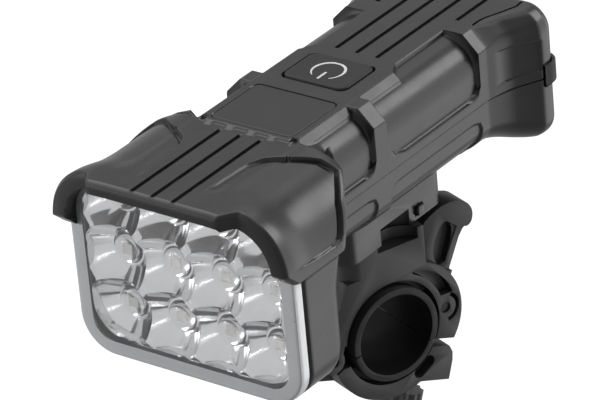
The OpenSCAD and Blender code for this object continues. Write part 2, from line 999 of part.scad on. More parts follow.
// Side view of the lower jaw without its knuckle
module lower_jaw_2d() {
  difference() {
    union() {
      difference() {
        circle(lower_r);
        box2([-40, lower_end_z], [jaw_r / 2, 40]);
      }
      bolt_plane()
        box2([-lug_back - 3, -jaw_gap_top - jaw_gap - lug_l], [lug_back, -jaw_gap_top - jaw_gap]);
    }
    circle(jaw_r);
    bolt_plane()
      box2([-30, -jaw_gap_top - jaw_gap], [30, 40]);
  }
}

module lower_jaw() {
  color("#262628")
    clamp_frame()
      difference() {
        union() {
          difference() {
            across(clamp_w)
              lower_jaw_2d();
            across(clamp_w + 2 * over)
              translate(hinge_p)
                circle(knuckle_r + 2 * gap_c);
          }
          across(2 * knuckle_half)
            difference() {
              union() {
                translate(hinge_p)
                  circle(knuckle_r);
                polygon([hinge_p + [0, knuckle_r], hinge_p + [-8, -2.5], hinge_p + [-3, -7],
                  [-jaw_r, -11], [-jaw_r, lower_end_z - 1], hinge_p + [knuckle_r, 0]]);
              }
              circle(jaw_r);
            }
        }
        across(clamp_w + 2 * over)
          translate(hinge_p)
            circle(pin_d / 2 + run_c);
        across(bolt_d + 2 * gap_c)
          bolt_plane()
            box2([-bolt_d / 2 - gap_c, -60], [30, 0]);
        both_sides(clamp_w / 2 - pocket_d, clamp_w / 2 + over)
          bolt_plane()
            translate([-3.2, -jaw_gap_top - jaw_gap - lug_l / 2 - 0.6])
              rotate(50)
                round_rect(7, 3.4, 1.65);
      }
}

module hinge_pin() {
  color("#9a9da1")
    clamp_frame()
      across(clamp_w - 1)
        translate(hinge_p)
          circle(pin_d / 2);
}

module pivot_pin() {
  color("#9a9da1")
    clamp_frame()
      across(clamp_w - 1)
        translate(pivot_p)
          circle(pin_d / 2);
}

module upper_liner() {
  color("#1d1d1f")
    clamp_frame() {
      across(clamp_w + 2 * liner_lip)
        ring_sector(bore_r, liner_r, -27, 188);
      across(2 * rib_half)
        ring_sector(liner_r - 0.2, rib_r, 30, 165);
    }
}

module lower_liner() {
  color("#1d1d1f")
    clamp_frame() {
      across(clamp_w + 2 * liner_lip)
        ring_sector(bore_r, liner_r, 190.5, 331);
      across(2 * rib_half)
        ring_sector(liner_r - 0.2, rib_r, 212, 300);
    }
}

// Turns a shape drawn along +Z to run down the clamp bolt
module down_bolt() {
  clamp_frame()
    translate([0, pivot_p[0], pivot_p[1]])
      rotate([180 - bolt_tilt, 0, 0])
        children();
}

module clamp_bolt() {
  color("#9a9da1")
    difference() {
      union() {
        clamp_frame()
          across(2 * eye_half)
            translate(pivot_p)
              circle(hub_r);
        down_bolt()
          cylinder(d = bolt_d, h = nut_drop + nut_h + nut_over);
      }
      clamp_frame()
        across(clamp_w)
          translate(pivot_p)
            circle(pin_d / 2 + run_c);
    }
}

module thumb_nut() {
  grips = 12;
  color("#1d1d1f")
    down_bolt()
      translate([0, 0, nut_drop])
        difference() {
          cylinder(d = nut_d, h = nut_h);
          translate([0, 0, -over])
            cylinder(r = bolt_d / 2 + run_c, h = nut_h + 2 * over);
          for (i = [0:grips - 1])
            rotate([0, 0, i * 360 / grips])
              translate([nut_d / 2 + 0.3, 0, -over])
                cylinder(r = 0.9, h = nut_h + 2 * over);
        }
}

// Side view of the lock lever: stem, arm and hooked tip
module lock_lever_2d() {
  top = pivot_p[1] + lever_rise;
  mid = pivot_p[0] + arm_shift;
  polygon([pivot_p + [1.8, -1.2], pivot_p + [6.4, 4.8], [mid + 10.9, top - 8.2],
    [mid + 12.9, top - 8.9], [mid + 14.4, top - 7.4], [mid + 14.6, top - 4.2],
    [mid + 12.4, top - 1.2], [mid + 8.6, top], [mid + 4.6, top - 0.3],
    [mid + 1.1, top - 2], [mid - 1.4, top - 3.4], [mid - 1.4, pivot_p[1] + 13.5],
    pivot_p + [-1.1, 7], pivot_p + [-1.3, -0.5]]);
}

// Pocket in each side of the lever
module lever_pocket_2d() {
  top = pivot_p[1] + lever_rise;
  mid = pivot_p[0] + arm_shift;
  polygon([pivot_p + [3.3, 7.8], pivot_p + [5.8, 8.4], [mid + 8.4, top - 7.2],
    [mid + 5.4, top - 3.9], [mid + 0.9, pivot_p[1] + 13.2]]);
}

module lock_lever() {
  stem_z = pivot_p[1] + hub_r + 3;
  color("#262628")
    clamp_frame()
      difference() {
        union() {
          across(2 * arm_half)
            lock_lever_2d();
          across(2 * lever_half)
            intersection() {
              lock_lever_2d();
              box2([0, -30], [60, stem_z]);
            }
          across(2 * lever_half)
            translate(pivot_p)
              circle(hub_r);
        }
        both_sides(arm_half - 2, lever_half + over)
          lever_pocket_2d();
        across(2 * eye_half + 2 * gap_c)
          box2([pivot_p[0] - 10, -30], [pivot_p[0] + 30, pivot_p[1] + hub_r + 1.5]);
        across(clamp_w)
          translate(pivot_p)
            circle(pin_d / 2 + run_c);
      }
}

top_shell();
bottom_shell();
front_lens();
lens_seal();
reflector();
led_chips();
led_board();
heat_sink();
display_window();
display_module();
main_board();
tact_switch();
power_button();
battery_cells();
battery_cradle();
port_board();
usb_socket();
port_flap();
shell_screws();
mount_rail();
rail_screws();
slide_base();
slide_latch();
swivel_screw();
swivel_washer();
swivel_nut();
upper_jaw();
lower_jaw();
hinge_pin();
upper_liner();
lower_liner();
pivot_pin();
clamp_bolt();
thumb_nut();
lock_lever();
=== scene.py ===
# %% [markdown]
# # A bike headlight on its handlebar clamp
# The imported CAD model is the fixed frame: every piece below is made in metres, in the same place as
# the solid it dresses. The plastic casing is rebuilt as a fine surface, because its soft edges, sunk
# panels and grooves are what the eye reads, while the mount keeps its solids with rounded edges.

# %% Load the frame
import math
import bmesh
import bpy
import numpy as np
from mathutils import Matrix, Vector


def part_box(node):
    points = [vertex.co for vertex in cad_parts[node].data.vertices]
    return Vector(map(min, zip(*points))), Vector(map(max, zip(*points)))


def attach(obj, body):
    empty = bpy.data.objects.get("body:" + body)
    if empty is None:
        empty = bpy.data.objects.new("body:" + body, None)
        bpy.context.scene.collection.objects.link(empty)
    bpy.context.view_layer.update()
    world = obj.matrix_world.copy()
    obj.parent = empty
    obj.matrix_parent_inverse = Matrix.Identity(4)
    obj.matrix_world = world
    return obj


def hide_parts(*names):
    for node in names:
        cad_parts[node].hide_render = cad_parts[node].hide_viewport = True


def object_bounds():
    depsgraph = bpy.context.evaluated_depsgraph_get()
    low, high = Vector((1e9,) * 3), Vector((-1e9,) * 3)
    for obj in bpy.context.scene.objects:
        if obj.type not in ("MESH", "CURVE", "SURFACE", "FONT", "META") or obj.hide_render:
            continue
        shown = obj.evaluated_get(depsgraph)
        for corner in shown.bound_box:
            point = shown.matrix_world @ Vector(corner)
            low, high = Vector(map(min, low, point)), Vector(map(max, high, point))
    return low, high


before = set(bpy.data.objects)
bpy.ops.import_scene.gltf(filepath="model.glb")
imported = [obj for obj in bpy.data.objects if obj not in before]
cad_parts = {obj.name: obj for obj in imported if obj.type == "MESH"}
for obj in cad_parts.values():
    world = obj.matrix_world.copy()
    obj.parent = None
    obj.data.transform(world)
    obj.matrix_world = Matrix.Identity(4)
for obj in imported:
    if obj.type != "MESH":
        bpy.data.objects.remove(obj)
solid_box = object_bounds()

MM = 0.001
print("loaded", len(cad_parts), "solids; box", [round(v, 4) for c in solid_box for v in c])


def linked(name, data):
    """A new object in the scene that shows these data."""
    made = bpy.data.objects.new(name, data)
    bpy.context.scene.collection.objects.link(made)
    return made


# %% [markdown]
# ## Camera
# The photograph was taken from the front right and above with a long lens, so parallel edges hardly
# converge. The three directions below were fitted to the lens outline, the row of cups and the deck
# grooves, and the lens is 288 mm on a 36 mm wide sensor.

# %% Camera
right = Vector((0.80626, 0.58591, -0.08156))
up = Vector((-0.21871, 0.42334, 0.87917))
forward = Vector((-0.54965, 0.69101, -0.46947))
place = Vector((0.6538, -0.8457, 0.6039))
lens_data = bpy.data.cameras.new("camera")
lens_data.lens = 288
lens_data.sensor_width = 36
lens_data.sensor_fit = "HORIZONTAL"
lens_data.clip_end = 20
camera = linked("camera", lens_data)
camera.matrix_world = Matrix.Translation(place) @ Matrix((right, up, -forward)).transposed().to_4x4()
bpy.context.scene.camera = camera
bpy.context.scene.view_settings.view_transform = "Standard"
print("camera", round(place.length, 3), "m from the clamp")

# %% [markdown]
# ## Materials
# Almost everything is black moulded plastic. A mould for such a casing is spark eroded, which leaves
# a fine even grain: it spreads the reflections and keeps the colour from looking flat. A noise drives
# the roughness and the colour a little, and a second, finer one the bump.

# %% Node and colour helpers
# The size of the clouds of colour in mm, and short names for the shader's inputs.
CLOUD = 9.0
SHINE = {"ior": "IOR", "level": "Specular IOR Level", "metal": "Metallic", "clear": "Transmission Weight"}


def linear(code):
    """An sRGB hex value as the linear colour that a shader needs."""
    parts = [int(code[i:i + 2], 16) / 255 for i in (1, 3, 5)]
    return tuple(c / 12.92 if c <= 0.04045 else ((c + 0.055) / 1.055) ** 2.4 for c in parts) + (1.0,)


def add(tree, kind, inputs=None, **settings):
    """Adds one node. An input is a plain value, or the socket or node that feeds it by its first output."""
    made = tree.nodes.new(kind)
    for name, value in settings.items():
        setattr(made, name, value)
    for name, value in (inputs or {}).items():
        if isinstance(value, bpy.types.Node):
            value = value.outputs[0]
        if isinstance(value, bpy.types.NodeSocket):
            tree.links.new(value, made.inputs[name])
        else:
            made.inputs[name].default_value = value
    return made


def arithmetic(tree, operation, *values):
    """A node for one step of arithmetic."""
    return add(tree, "ShaderNodeMath", dict(enumerate(values)), operation=operation)


def empty_tree(owner):
    """The node tree of a material or a world, cleared."""
    owner.use_nodes = True
    owner.node_tree.nodes.clear()
    return owner.node_tree


def finish(name, dark, light, rough, grain, depth, **shine):
    """A surface whose colour drifts between two hex values, with a roughness range and a bump of so many
    mm of grain and depth. shine holds further values of the shader by their short names."""
    made = bpy.data.materials.new(name)
    tree = empty_tree(made)
    spot = add(tree, "ShaderNodeTexCoord").outputs["Object"]
    noise = "ShaderNodeTexNoise"
    clouds = add(tree, noise, {"Vector": spot, "Scale": 1 / (CLOUD * MM), "Detail": 4.0, "Roughness": 0.6})
    grit = add(tree, noise, {"Vector": spot, "Scale": 1 / (grain * MM), "Detail": 2.0, "Roughness": 0.55})
    tone = add(tree, "ShaderNodeMix", {0: clouds, 6: linear(dark), 7: linear(light)}, data_type="RGBA")
    gloss = add(tree, "ShaderNodeMapRange",
                {"Value": clouds, "From Min": 0.3, "From Max": 0.7, "To Min": rough[0], "To Max": rough[1]})
    relief = add(tree, "ShaderNodeBump", {"Height": grit, "Strength": 0.6, "Distance": depth * MM})
    values = {"Base Color": tone.outputs[2], "Roughness": gloss, "Normal": relief}
    values.update((SHINE[key], value) for key, value in shine.items())
    body = add(tree, "ShaderNodeBsdfPrincipled", values)
    add(tree, "ShaderNodeOutputMaterial", {"Surface": body})
    return made


# %% The plastics and rubbers
# Black ABS from a spark-eroded mould: dark grey with a soft sheen. The true grain is near 0.1 mm; it is
# drawn at 0.3 mm so that it shows at all.
abs_black = finish("moulded_black_ABS", "#121213", "#171718", (0.25, 0.32), 0.3, 0.008, ior=1.52, level=0.3)
# The clamp is glass-filled nylon: a little rougher and greyer, with a grainier skin.
nylon_black = finish("moulded_glass_filled_nylon", "#1a1a1b", "#202021", (0.40, 0.50), 0.35, 0.012,
                     ior=1.53, level=0.36)
# The button cap is a soft-touch overmould, darker and duller than the deck round it.
soft_black = finish("soft_touch_elastomer", "#0c0c0d", "#101011", (0.50, 0.60), 0.25, 0.012,
                    ior=1.49, level=0.25)
rubber_black = finish("moulded_EPDM_rubber", "#111112", "#161617", (0.55, 0.70), 0.4, 0.025,
                      ior=1.50, level=0.3)
liner_rubber = finish("moulded_liner_rubber", "#1a1a1b", "#202021", (0.55, 0.65), 0.4, 0.02,
                      ior=1.46, level=0.3)
# Inside the bore the same rubber is dull, and its colour is painted near black: painted shade for the
# shadowed bore.
painted_shade_bore_rubber = finish("ribbed_bore_rubber_painted_shade", "#050505", "#070707", (0.7, 0.8), 0.4, 0.03, ior=1.46, level=0.1)
# The display window is polished smoked acrylic, flush in its frame.
smoked = finish("polished_smoked_acrylic", "#111112", "#141415", (0.28, 0.36), 0.6, 0.002,
                ior=1.49, level=0.3)
white_ink = finish("pad_printed_white_ink", "#8e8e8e", "#989898", (0.50, 0.60), 0.2, 0.004, ior=1.50)

# %% The metals, the optics and the inner parts
chrome = finish("vacuum_plated_chrome", "#e9eaeb", "#f1f1f2", (0.05, 0.10), 2.5, 0.006, metal=1.0)
steel = finish("zinc_plated_steel", "#9b9c9e", "#adaeb0", (0.28, 0.40), 0.5, 0.008, metal=1.0)
# The two pins of the clamp are blackened, so that their ends don't shine in the black plastic.
black_steel = finish("black_oxide_steel", "#2b2b2d", "#343436", (0.35, 0.45), 0.4, 0.006, metal=1.0)
aluminium = finish("extruded_aluminium", "#b4b6b8", "#c3c4c6", (0.30, 0.45), 0.7, 0.01, metal=1.0)
white_mask = finish("white_solder_mask", "#eaeae8", "#f3f3f1", (0.35, 0.45), 0.4, 0.004, ior=1.5)
green_mask = finish("green_solder_mask", "#1d5233", "#266440", (0.30, 0.42), 0.4, 0.006, ior=1.5)
phosphor = finish("phosphor_silicone", "#ecebe6", "#f2f1ee", (0.35, 0.45), 0.3, 0.006, ior=1.43)
sleeve = finish("heat_shrunk_PVC_sleeve", "#33568f", "#3c629f", (0.25, 0.35), 1.5, 0.01, ior=1.53)
grey_abs = finish("moulded_grey_ABS", "#4a4b4d", "#545557", (0.42, 0.52), 0.3, 0.012, ior=1.52)
# Clear polycarbonate from a polished mould lets the cups show; its border is etched, so it scatters.
clear_pc = finish("polished_clear_polycarbonate", "#fdfdfe", "#ffffff", (0.015, 0.03), 3.0, 0.001,
                  ior=1.585, clear=1.0)
etched_pc = finish("etched_polycarbonate", "#6d6f71", "#7a7b7d", (0.26, 0.36), 0.3, 0.008,
                   ior=1.585, clear=0.1)
# The outer edge of the plate is painted much whiter than its face: painted light, for the light that gathers
# in that edge.
painted_light_edge_pc = finish("polycarbonate_edge_painted_light", "#e2e4e6", "#ecedee", (0.15, 0.22), 1.0, 0.002,
                 ior=1.585, clear=0.1)
dome_silicone = finish("cast_clear_silicone", "#fbfbfa", "#fefefe", (0.03, 0.05), 1.0, 0.001,
                       ior=1.41, clear=1.0)
print(len(bpy.data.materials), "materials")

# %% [markdown]
# ## Making a piece from points
# The casing is made as rows of points, in mm, in the CAD frame. Two rows of any length can be joined
# by a strip of triangles, so the outer skin can be fine while the hidden inner skin stays coarse.
# Smaller pieces are made of rings with equal numbers of points.

# %% Piece helpers
def keep(mesh, body, *nodes):
    """Makes a finished mesh a piece that rides on a body and stands for its solids."""
    made = linked(mesh.name, mesh)
    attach(made, body)
    if nodes:
        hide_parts(*nodes)
    return made


def soften(mesh, sharp=40):
    """Smooth shading, except over edges that turn by more degrees than this."""
    mesh.shade_smooth()
    mesh.set_sharp_from_angle(angle=math.radians(sharp))


def settled(carrier, name):
    """The plain mesh that an object's modifiers give. The object itself is removed."""
    ready = carrier.evaluated_get(bpy.context.evaluated_depsgraph_get())
    mesh = bpy.data.meshes.new_from_object(ready)
    mesh.name = name
    bpy.data.objects.remove(carrier)
    return mesh


def surface(name, points, faces, material, sharp=40):
    """A closed mesh from points in mm, its doubles merged and its faces turned outwards."""
    mesh = bpy.data.meshes.new(name)
    mesh.from_pydata((np.asarray(points) * MM).tolist(), [], faces)
    work = bmesh.new()
    work.from_mesh(mesh)
    bmesh.ops.remove_doubles(work, verts=work.verts, dist=1e-6)
    bmesh.ops.recalc_face_normals(work, faces=work.faces)
    if work.calc_volume(signed=True) < 0:
        bmesh.ops.reverse_faces(work, faces=work.faces)
    work.to_mesh(mesh)
    work.free()
    mesh.materials.append(material)
    soften(mesh, sharp)
    return mesh


def strip(points, one, two):
    """Triangles between two rows of point numbers that run the same way, over the shorter diagonal."""
    faces, i, j = [], 0, 0
    while i < len(one) - 1 or j < len(two) - 1:
        first = j == len(two) - 1
        if not first and i < len(one) - 1:
            ahead = math.dist(points[one[i + 1]], points[two[j]])
            first = ahead <= math.dist(points[one[i]], points[two[j + 1]])
        faces.append((one[i], one[i + 1], two[j]) if first else (one[i], two[j + 1], two[j]))
        i, j = i + first, j + (not first)
    return faces


def quads(rows):
    """Faces between neighbouring rows of a grid of point numbers."""
    a, b, c, d = rows[:-1, :-1], rows[1:, :-1], rows[1:, 1:], rows[:-1, 1:]
    return np.stack([a, b, c, d], -1).reshape(-1, 4).tolist()


def shell(name, outer, inner, material):
    """A wall between two grids of points (rows, columns, 3), closed along all four edges."""
    first = np.arange(outer[..., 0].size).reshape(outer.shape[:2])
    second = first.size + np.arange(inner[..., 0].size).reshape(inner.shape[:2])
    faces = quads(first) + quads(second)
    points = np.vstack([outer.reshape(-1, 3), inner.reshape(-1, 3)])
    for pick in (np.s_[0, :], np.s_[-1, :], np.s_[:, 0], np.s_[:, -1]):
        faces += strip(points, list(first[pick]), list(second[pick]))
    return surface(name, points, faces, material, sharp=62)


def hoops(loops, again=False):
    """Points and faces of a skin over rings of points. It comes back to the first ring if again is true,
    and otherwise it is closed by a face at each end."""
    size = len(loops[0])
    faces = []
    for k in range(len(loops) if again else len(loops) - 1):
        after = (k + 1) % len(loops) * size
        for i in range(size):
            beside = (i + 1) % size
            faces.append((k * size + i, k * size + beside, after + beside, after + i))
    if not again:
        faces += [list(range(size))[::-1], list(range((len(loops) - 1) * size, len(loops) * size))]
    return [p for loop in loops for p in loop], faces


def together(shapes):
    """Several sets of points and faces as one."""
    points, faces = [], []
    for more, sides in shapes:
        faces += [[len(points) + i for i in side] for side in sides]
        points += more
    return points, faces


# %% Measures for the casing
def ease(t):
    """0 to 1 with soft ends."""
    t = np.clip(t, 0, 1)
    return t * t * (3 - 2 * t)


def soft(inside, width):
    """0 outside an outline to 1 inside it, over an edge so many mm wide."""
    return ease(0.5 + inside / width)


def shares(steps):
    """Equal steps up to 1, without the 0 that they start from."""
    return np.linspace(0, 1, steps + 1)[1:]


def thinned(length, step):
    """Every so many of a row's places, and always its last."""
    return np.unique(np.r_[0:length:step, length - 1])


def way_round(x, z):
    """Distance round a section from its first point to each point."""
    return np.concatenate([[0], np.cumsum(np.hypot(np.diff(x), np.diff(z)))])


def inward(panel, a, y):
    """How far a point lies inside a panel's outline, in mm, and negative outside it."""
    near = np.full(np.broadcast(a, y).shape, 1e9)
    within = np.zeros(near.shape, bool)
    for (a0, y0), (a1, y1) in zip(panel, panel[1:] + panel[:1]):
        t = np.clip(((a - a0) * (a1 - a0) + (y - y0) * (y1 - y0)) / ((a1 - a0) ** 2 + (y1 - y0) ** 2), 0, 1)
        near = np.minimum(near, (a - a0 - t * (a1 - a0)) ** 2 + (y - y0 - t * (y1 - y0)) ** 2)
        if y0 != y1:
            within ^= ((y0 > y) != (y1 > y)) & (a < a0 + (a1 - a0) * (y - y0) / (y1 - y0))
    return np.where(within, 1, -1) * np.sqrt(near)


def box_in(x, y, cx, cy, half_x, half_y, r):
    """The same for a rectangle with rounded corners."""
    qx, qy = np.abs(x - cx) - half_x + r, np.abs(y - cy) - half_y + r
    out = np.sqrt(np.maximum(qx, 0) ** 2 + np.maximum(qy, 0) ** 2) + np.minimum(np.maximum(qx, qy), 0) - r
    return -out


print("helpers ready")

# %% [markdown]
# ## Top shell
# The upper casing is one moulding: a broad head with a visor and two ears, a waist with two sunk
# panels a side, a flared tail, and a raised housing for the display and the button. It could be
# sculpted or built from solids with fillets. Here it is lofted: a head section and a body section
# share the same columns of points and blend along the light, and the panels, grooves and pockets are
# then pressed in along the surface, each with the soft edge of a moulding.

# %% Sizes of the casing, in mm
# Heights of the deck, of the head's front deck, of the display housing and of the head's shoulders.
DECK_Z, FRONT_Z, HOUSING_Z, HEAD_Z = 73.75, 73.35, 73.85, 73.2
# The two edges of the parting line, and the lower end of the upright sides.
TOP_SEAM, LOW_SEAM, SIDE_Z = 54.53, 54.47, 58.4
# Half widths of the head, of the waist and of the deck's middle field.
HEAD_HALF, WAIST_HALF, DECK_HALF = 35.6, 21.4, 14.5
# The rear wall and the radius of its edge, and where the tail starts to flare.
TAIL, TAIL_R, FLARE_Y = 50.5, 4, 28
TAIL_START = TAIL - TAIL_R
# How far the bands stand out from the panels, and the leg of their slanted edge.
BAND_OUT, LEG = 1.1, 4.64
# The grooves of the deck: their places, half their width, and the width of their soft edges.
GROOVES, GROOVE_HALF, GROOVE_EDGE = (0, 6.15, 12.3), 0.6, 0.12
# The middles of the button and of the display window along the light, and the housing's front.
BUTTON_Y, WINDOW_Y, HOUSING_Y = -7.8, -30.7, -41.9
# A move across the light, which leaves the place along it.
ACROSS = np.array([1, 0, 1])

# %% Sections of the top shell
groove_sides = [s * (GROOVE_HALF + e * GROOVE_EDGE / 2) for s in (-1, 1) for e in (-1, 1)]
deck = np.r_[0:9:0.45, 9.1:14.3:0.26, 14.3, DECK_HALF, [c + s for c in GROOVES for s in groove_sides]]
deck = np.unique(np.round(deck[deck >= 0], 3))
shelf, turn, flank = shares(9), shares(40), shares(28)
skirt = np.r_[58.0, 57.75, 57.5, 57.3, 57.0, 56.6, 56.2, 55.8, 55.4, 55.05, 54.85, 54.75, 54.64, TOP_SEAM]
parts = np.cumsum([len(deck), len(shelf) + 3, len(turn), len(flank), len(skirt)])


def tail_width(y):
    """Half width of the sunk side panels along the light: straight, then flared to the tail."""
    return WAIST_HALF + 6.9 * np.clip((y - FLARE_Y) / 16, 0, 1) ** 1.25


def tail_round(y):
    """How far the round edge of the tail draws the surface in."""
    return TAIL_R - np.sqrt(np.maximum(TAIL_R ** 2 - np.clip(y - TAIL_START, 0, TAIL_R) ** 2, 0))


def shelf_x(end):
    """Places across the deck from its middle field to its edge, with four close together at the edge."""
    return np.concatenate([DECK_HALF + (end - (DECK_HALF + 0.75)) * shelf, end - 0.62, end - 0.12, end], 1)


def proud(y):
    """How far the bands stand out from the panels: all the way, then less and less towards the tail."""
    return 1 - ease((y - FLARE_Y) / 9)


def band_half(y):
    """The raised body section that the bands show: flat deck, a crisp slanted edge, upright side."""
    width = tail_width(y) + BAND_OUT * proud(y)
    leg = LEG - 0.5 * ease((y - FLARE_Y) / 7)
    r = 0.9 + 3.0 * ease((y - 28.5) / 6) + 2.6 * ease((y - 37) / 10)
    k = r * math.tan(math.radians(22.5))
    start, end = width - leg - k, DECK_Z - leg - k
    a1 = np.radians(45) * np.clip(turn / 0.25, 0, 1)
    a2 = np.radians(45) * (1 + np.clip((turn - 0.75) / 0.25, 0, 1))
    mid = np.clip((turn - 0.25) / 0.5, 0, 1)
    x1, z1 = start + r * np.sin(a1), DECK_Z - r + r * np.cos(a1)
    x2, z2 = width - r + r * np.sin(a2), end + r * np.cos(a2)
    x = np.where(turn >= 0.75, x2, x1 + (x2 - x1) * mid)
    z = np.where(turn >= 0.75, z2, z1 + (z2 - z1) * mid)
    one = np.ones_like(y)
    xs = [deck * one, shelf_x(start), x, width + 0 * flank, width + 0 * skirt]
    zs = [DECK_Z + 0 * deck * one, DECK_Z + 0 * shelf_x(start), z, end + (SIDE_Z - end) * flank, skirt * one]
    return [np.concatenate(v, 1) for v in (xs, zs)]


def panel_half(y):
    """The sunk body section between the bands: a broad round shoulder of 9.5 mm, tighter at the tail."""
    width = tail_width(y)
    r = 9.5 - 3.5 * ease((y - 27) / 8)
    top, middle = 72.6, width - r
    start = width + BAND_OUT - LEG - 0.37
    one = np.ones_like(y)
    flat_x = np.concatenate([deck * one, shelf_x(start)], 1)
    flat_z = top - r + np.sqrt(np.maximum(r * r - np.clip(flat_x - middle, 0, r) ** 2, 0))
    first = np.arcsin(np.clip((start - middle) / r, 0, 1))
    angle = first + (np.radians(90) - first) * turn
    xs = [flat_x, middle + r * np.sin(angle), width + 0 * flank, width + 0 * skirt]
    zs = [flat_z, top - r + r * np.cos(angle), top - r + (SIDE_Z - top + r) * flank, skirt * one]
    return [np.concatenate(v, 1) for v in (xs, zs)]


def head_half(y, sunk=0.0):
    """The head section: its shoulders go from 15.5 mm radius at the ears to 18.5 mm at the neck. The third
    value is the distance round it."""
    r = 15.5 + 3 * ease((y + 77) / 19)
    middle, low = HEAD_HALF - r, HEAD_Z - r
    last = np.arccos(np.clip((58.2 - low) / r, -1, 1))
    share = np.concatenate([0.62 * turn, 0.62 + 0.38 * flank])
    d, s, a = parts[0], parts[1], parts[3]
    angle = last[:, s:a] * share
    x, z = np.empty_like(y), np.empty_like(y)
    x[:, :d], z[:, :d] = deck, FRONT_Z - sunk
    x[:, d:s] = shelf_x(middle[:, s - 1:s])
    z[:, d:s] = FRONT_Z - 0.15 * ease((x[:, d:s] - DECK_HALF) / (middle[:, d:s] - DECK_HALF)) - sunk
    x[:, s:a] = middle[:, s:a] + (r[:, s:a] - sunk) * np.sin(angle)
    z[:, s:a] = low[:, s:a] + (r[:, s:a] - sunk) * np.cos(angle)
    z[:, a:] = skirt
    rise = np.clip((skirt - low[:, a:]) / r[:, a:], 0, 1)
    x[:, a:] = middle[:, a:] + (r[:, a:] - sunk) * np.sqrt(1 - rise * rise)
    round_way = np.concatenate([x[:, :s], middle[:, s:a] + r[:, s:a] * angle,
                                middle[:, a:] + r[:, a:] * np.arccos(rise)], 1)
    return x, z, round_way


# %% [markdown]
# Each row of points lies across the light. The visor's front edge isn't straight, so the first rows
# run from that edge to the plane of the lens. The rows round the neck bend with the rear edge of the
# shoulder panels, so that this edge comes out clean, and the rest are plain cuts.

# %% Rows of the top shell
count = parts[-1]
_, ref_z, ref_way = [v[0] for v in head_half(np.full((1, count), -57.0))]
nose_x, nose_z, _ = [v[0] for v in head_half(np.full((1, count), -77.0))]
front = np.interp(nose_x, [0, 19.6, 22.8, 36], [-80.9, -80.9, -76.6, -76.6])
front = np.where(nose_z < 58.3, np.interp(nose_z, [54.5, 58.3], [-72.4, -76.6]), front)
band_x, band_z = [v[0] for v in band_half(np.array([[0.0]]))]
along_body = way_round(band_x, band_z)
bend_at = np.interp(ref_way, [14.5, 17.5, 23.7, 28.6, 34.6, 41.8, 43.4, 46],
                    [-42.9, -48.0, -43.8, -43.2, -48.8, -52.8, -56.0, -56.4])
knots = [-71.8, -66, np.minimum(-55.5, bend_at - 3), bend_at - 1.3, bend_at + 1.3, -34, -22, -19.8, -16.6,
         -14.4, -1.3, 0.3, 7, 23, 26, 30.5, TAIL_START]
steps = [9, 10, 34, 18, 22, 14, 11, 6, 11, 20, 12, 16, 14, 12, 14, 26]
rows = [a + (b - a) * (np.arange(n) / n)[:, None] + np.zeros(count)
        for a, b, n in zip(knots, knots[1:], steps)]
tail_rows = TAIL_START + TAIL_R * np.sin(np.radians(np.linspace(0, 90, 14)))
rows.append(tail_rows[:, None] + np.zeros(count))
lead = np.array([0, 0.03, 0.07, 0.12, 0.18, 0.26, 0.36, 0.47, 0.58, 0.7, 0.82, 0.93, 1.0])
stop = np.maximum(-71.95, front + 0.15)
ys = np.vstack([front + (stop - front) * lead[:, None]] + rows)
ys = np.maximum.accumulate(ys, 0)
print("top shell:", len(ys), "rows of", count, "points a side")


def level(z):
    """Distance round the band section at a height on its side."""
    return float(np.interp(-z, -band_z[parts[2]:], along_body[parts[2]:]))


def neck(y, z):
    """How far the casing has gone from the head to the body, by the place along it and the height."""
    heights = [-74, -69.7, -65.5, -57.6, -54]
    begin = np.interp(-z, heights, [-43.2, -42.6, -47.6, -52.6, -54.0])
    end = np.interp(-z, heights, [-35.5, -35.0, -38.5, -41.5, -42.5])
    return ease((y - begin) / (end - begin))


# %% [markdown]
# The outlines of the sunk panels come from the photograph. Each is drawn flat, as the distance round
# the section and the place along the light, as one would draw it on the unrolled sheet.

# %% What is pressed into the top shell
shoulder = [(9.5, -95), (9.5, -73), (10.4, -55.6), (12.5, -51.4), (23.7, -43.8), (28.6, -43.2), (34.6, -48.8),
            (41.8, -52.8), (43.0, -54.0), (43.4, -56), (43.4, -95)]
waist = [(14.7, -41.4), (14.7, -20.9), (level(60.4), -20.9), (level(58.2), -22.2), (level(57.4), -24.6),
         (level(57.4), -47), (level(60), -45.5), (22, -40.4)]
side_panel = [(14.7, -15.3), (14.7, -0.7), (12.3, 3.6), (12.3, 24.6), (level(60.4), 24.6),
              (level(58.2), 23.3), (level(57.4), 20.9), (level(57.4), -8.5), (level(58.4), -12.5),
              (level(62), -15.3)]
# The inner grooves run over the head, and from the button to the tail. The outer ones are in the tail.
groove_runs = [(at, -79.8, -44.2) for at in GROOVES[:2]] + [(at, 4.2, 60) for at in GROOVES[:2]]
groove_runs.append((GROOVES[2], 30.6, 60))


def sunk_share(y, way):
    """0 where the casing stands at its full size, 1 where a panel is sunk."""
    body = np.broadcast_to(along_body, y.shape)
    share = soft(inward(shoulder, way, y), 0.5) * ease((y + 73.5) / 9)
    share = share * (0.25 + 0.75 * ease((way - 11) / 9))
    for panel in (waist, side_panel):
        share = np.maximum(share, soft(inward(panel, body, y), 0.3))
    return share


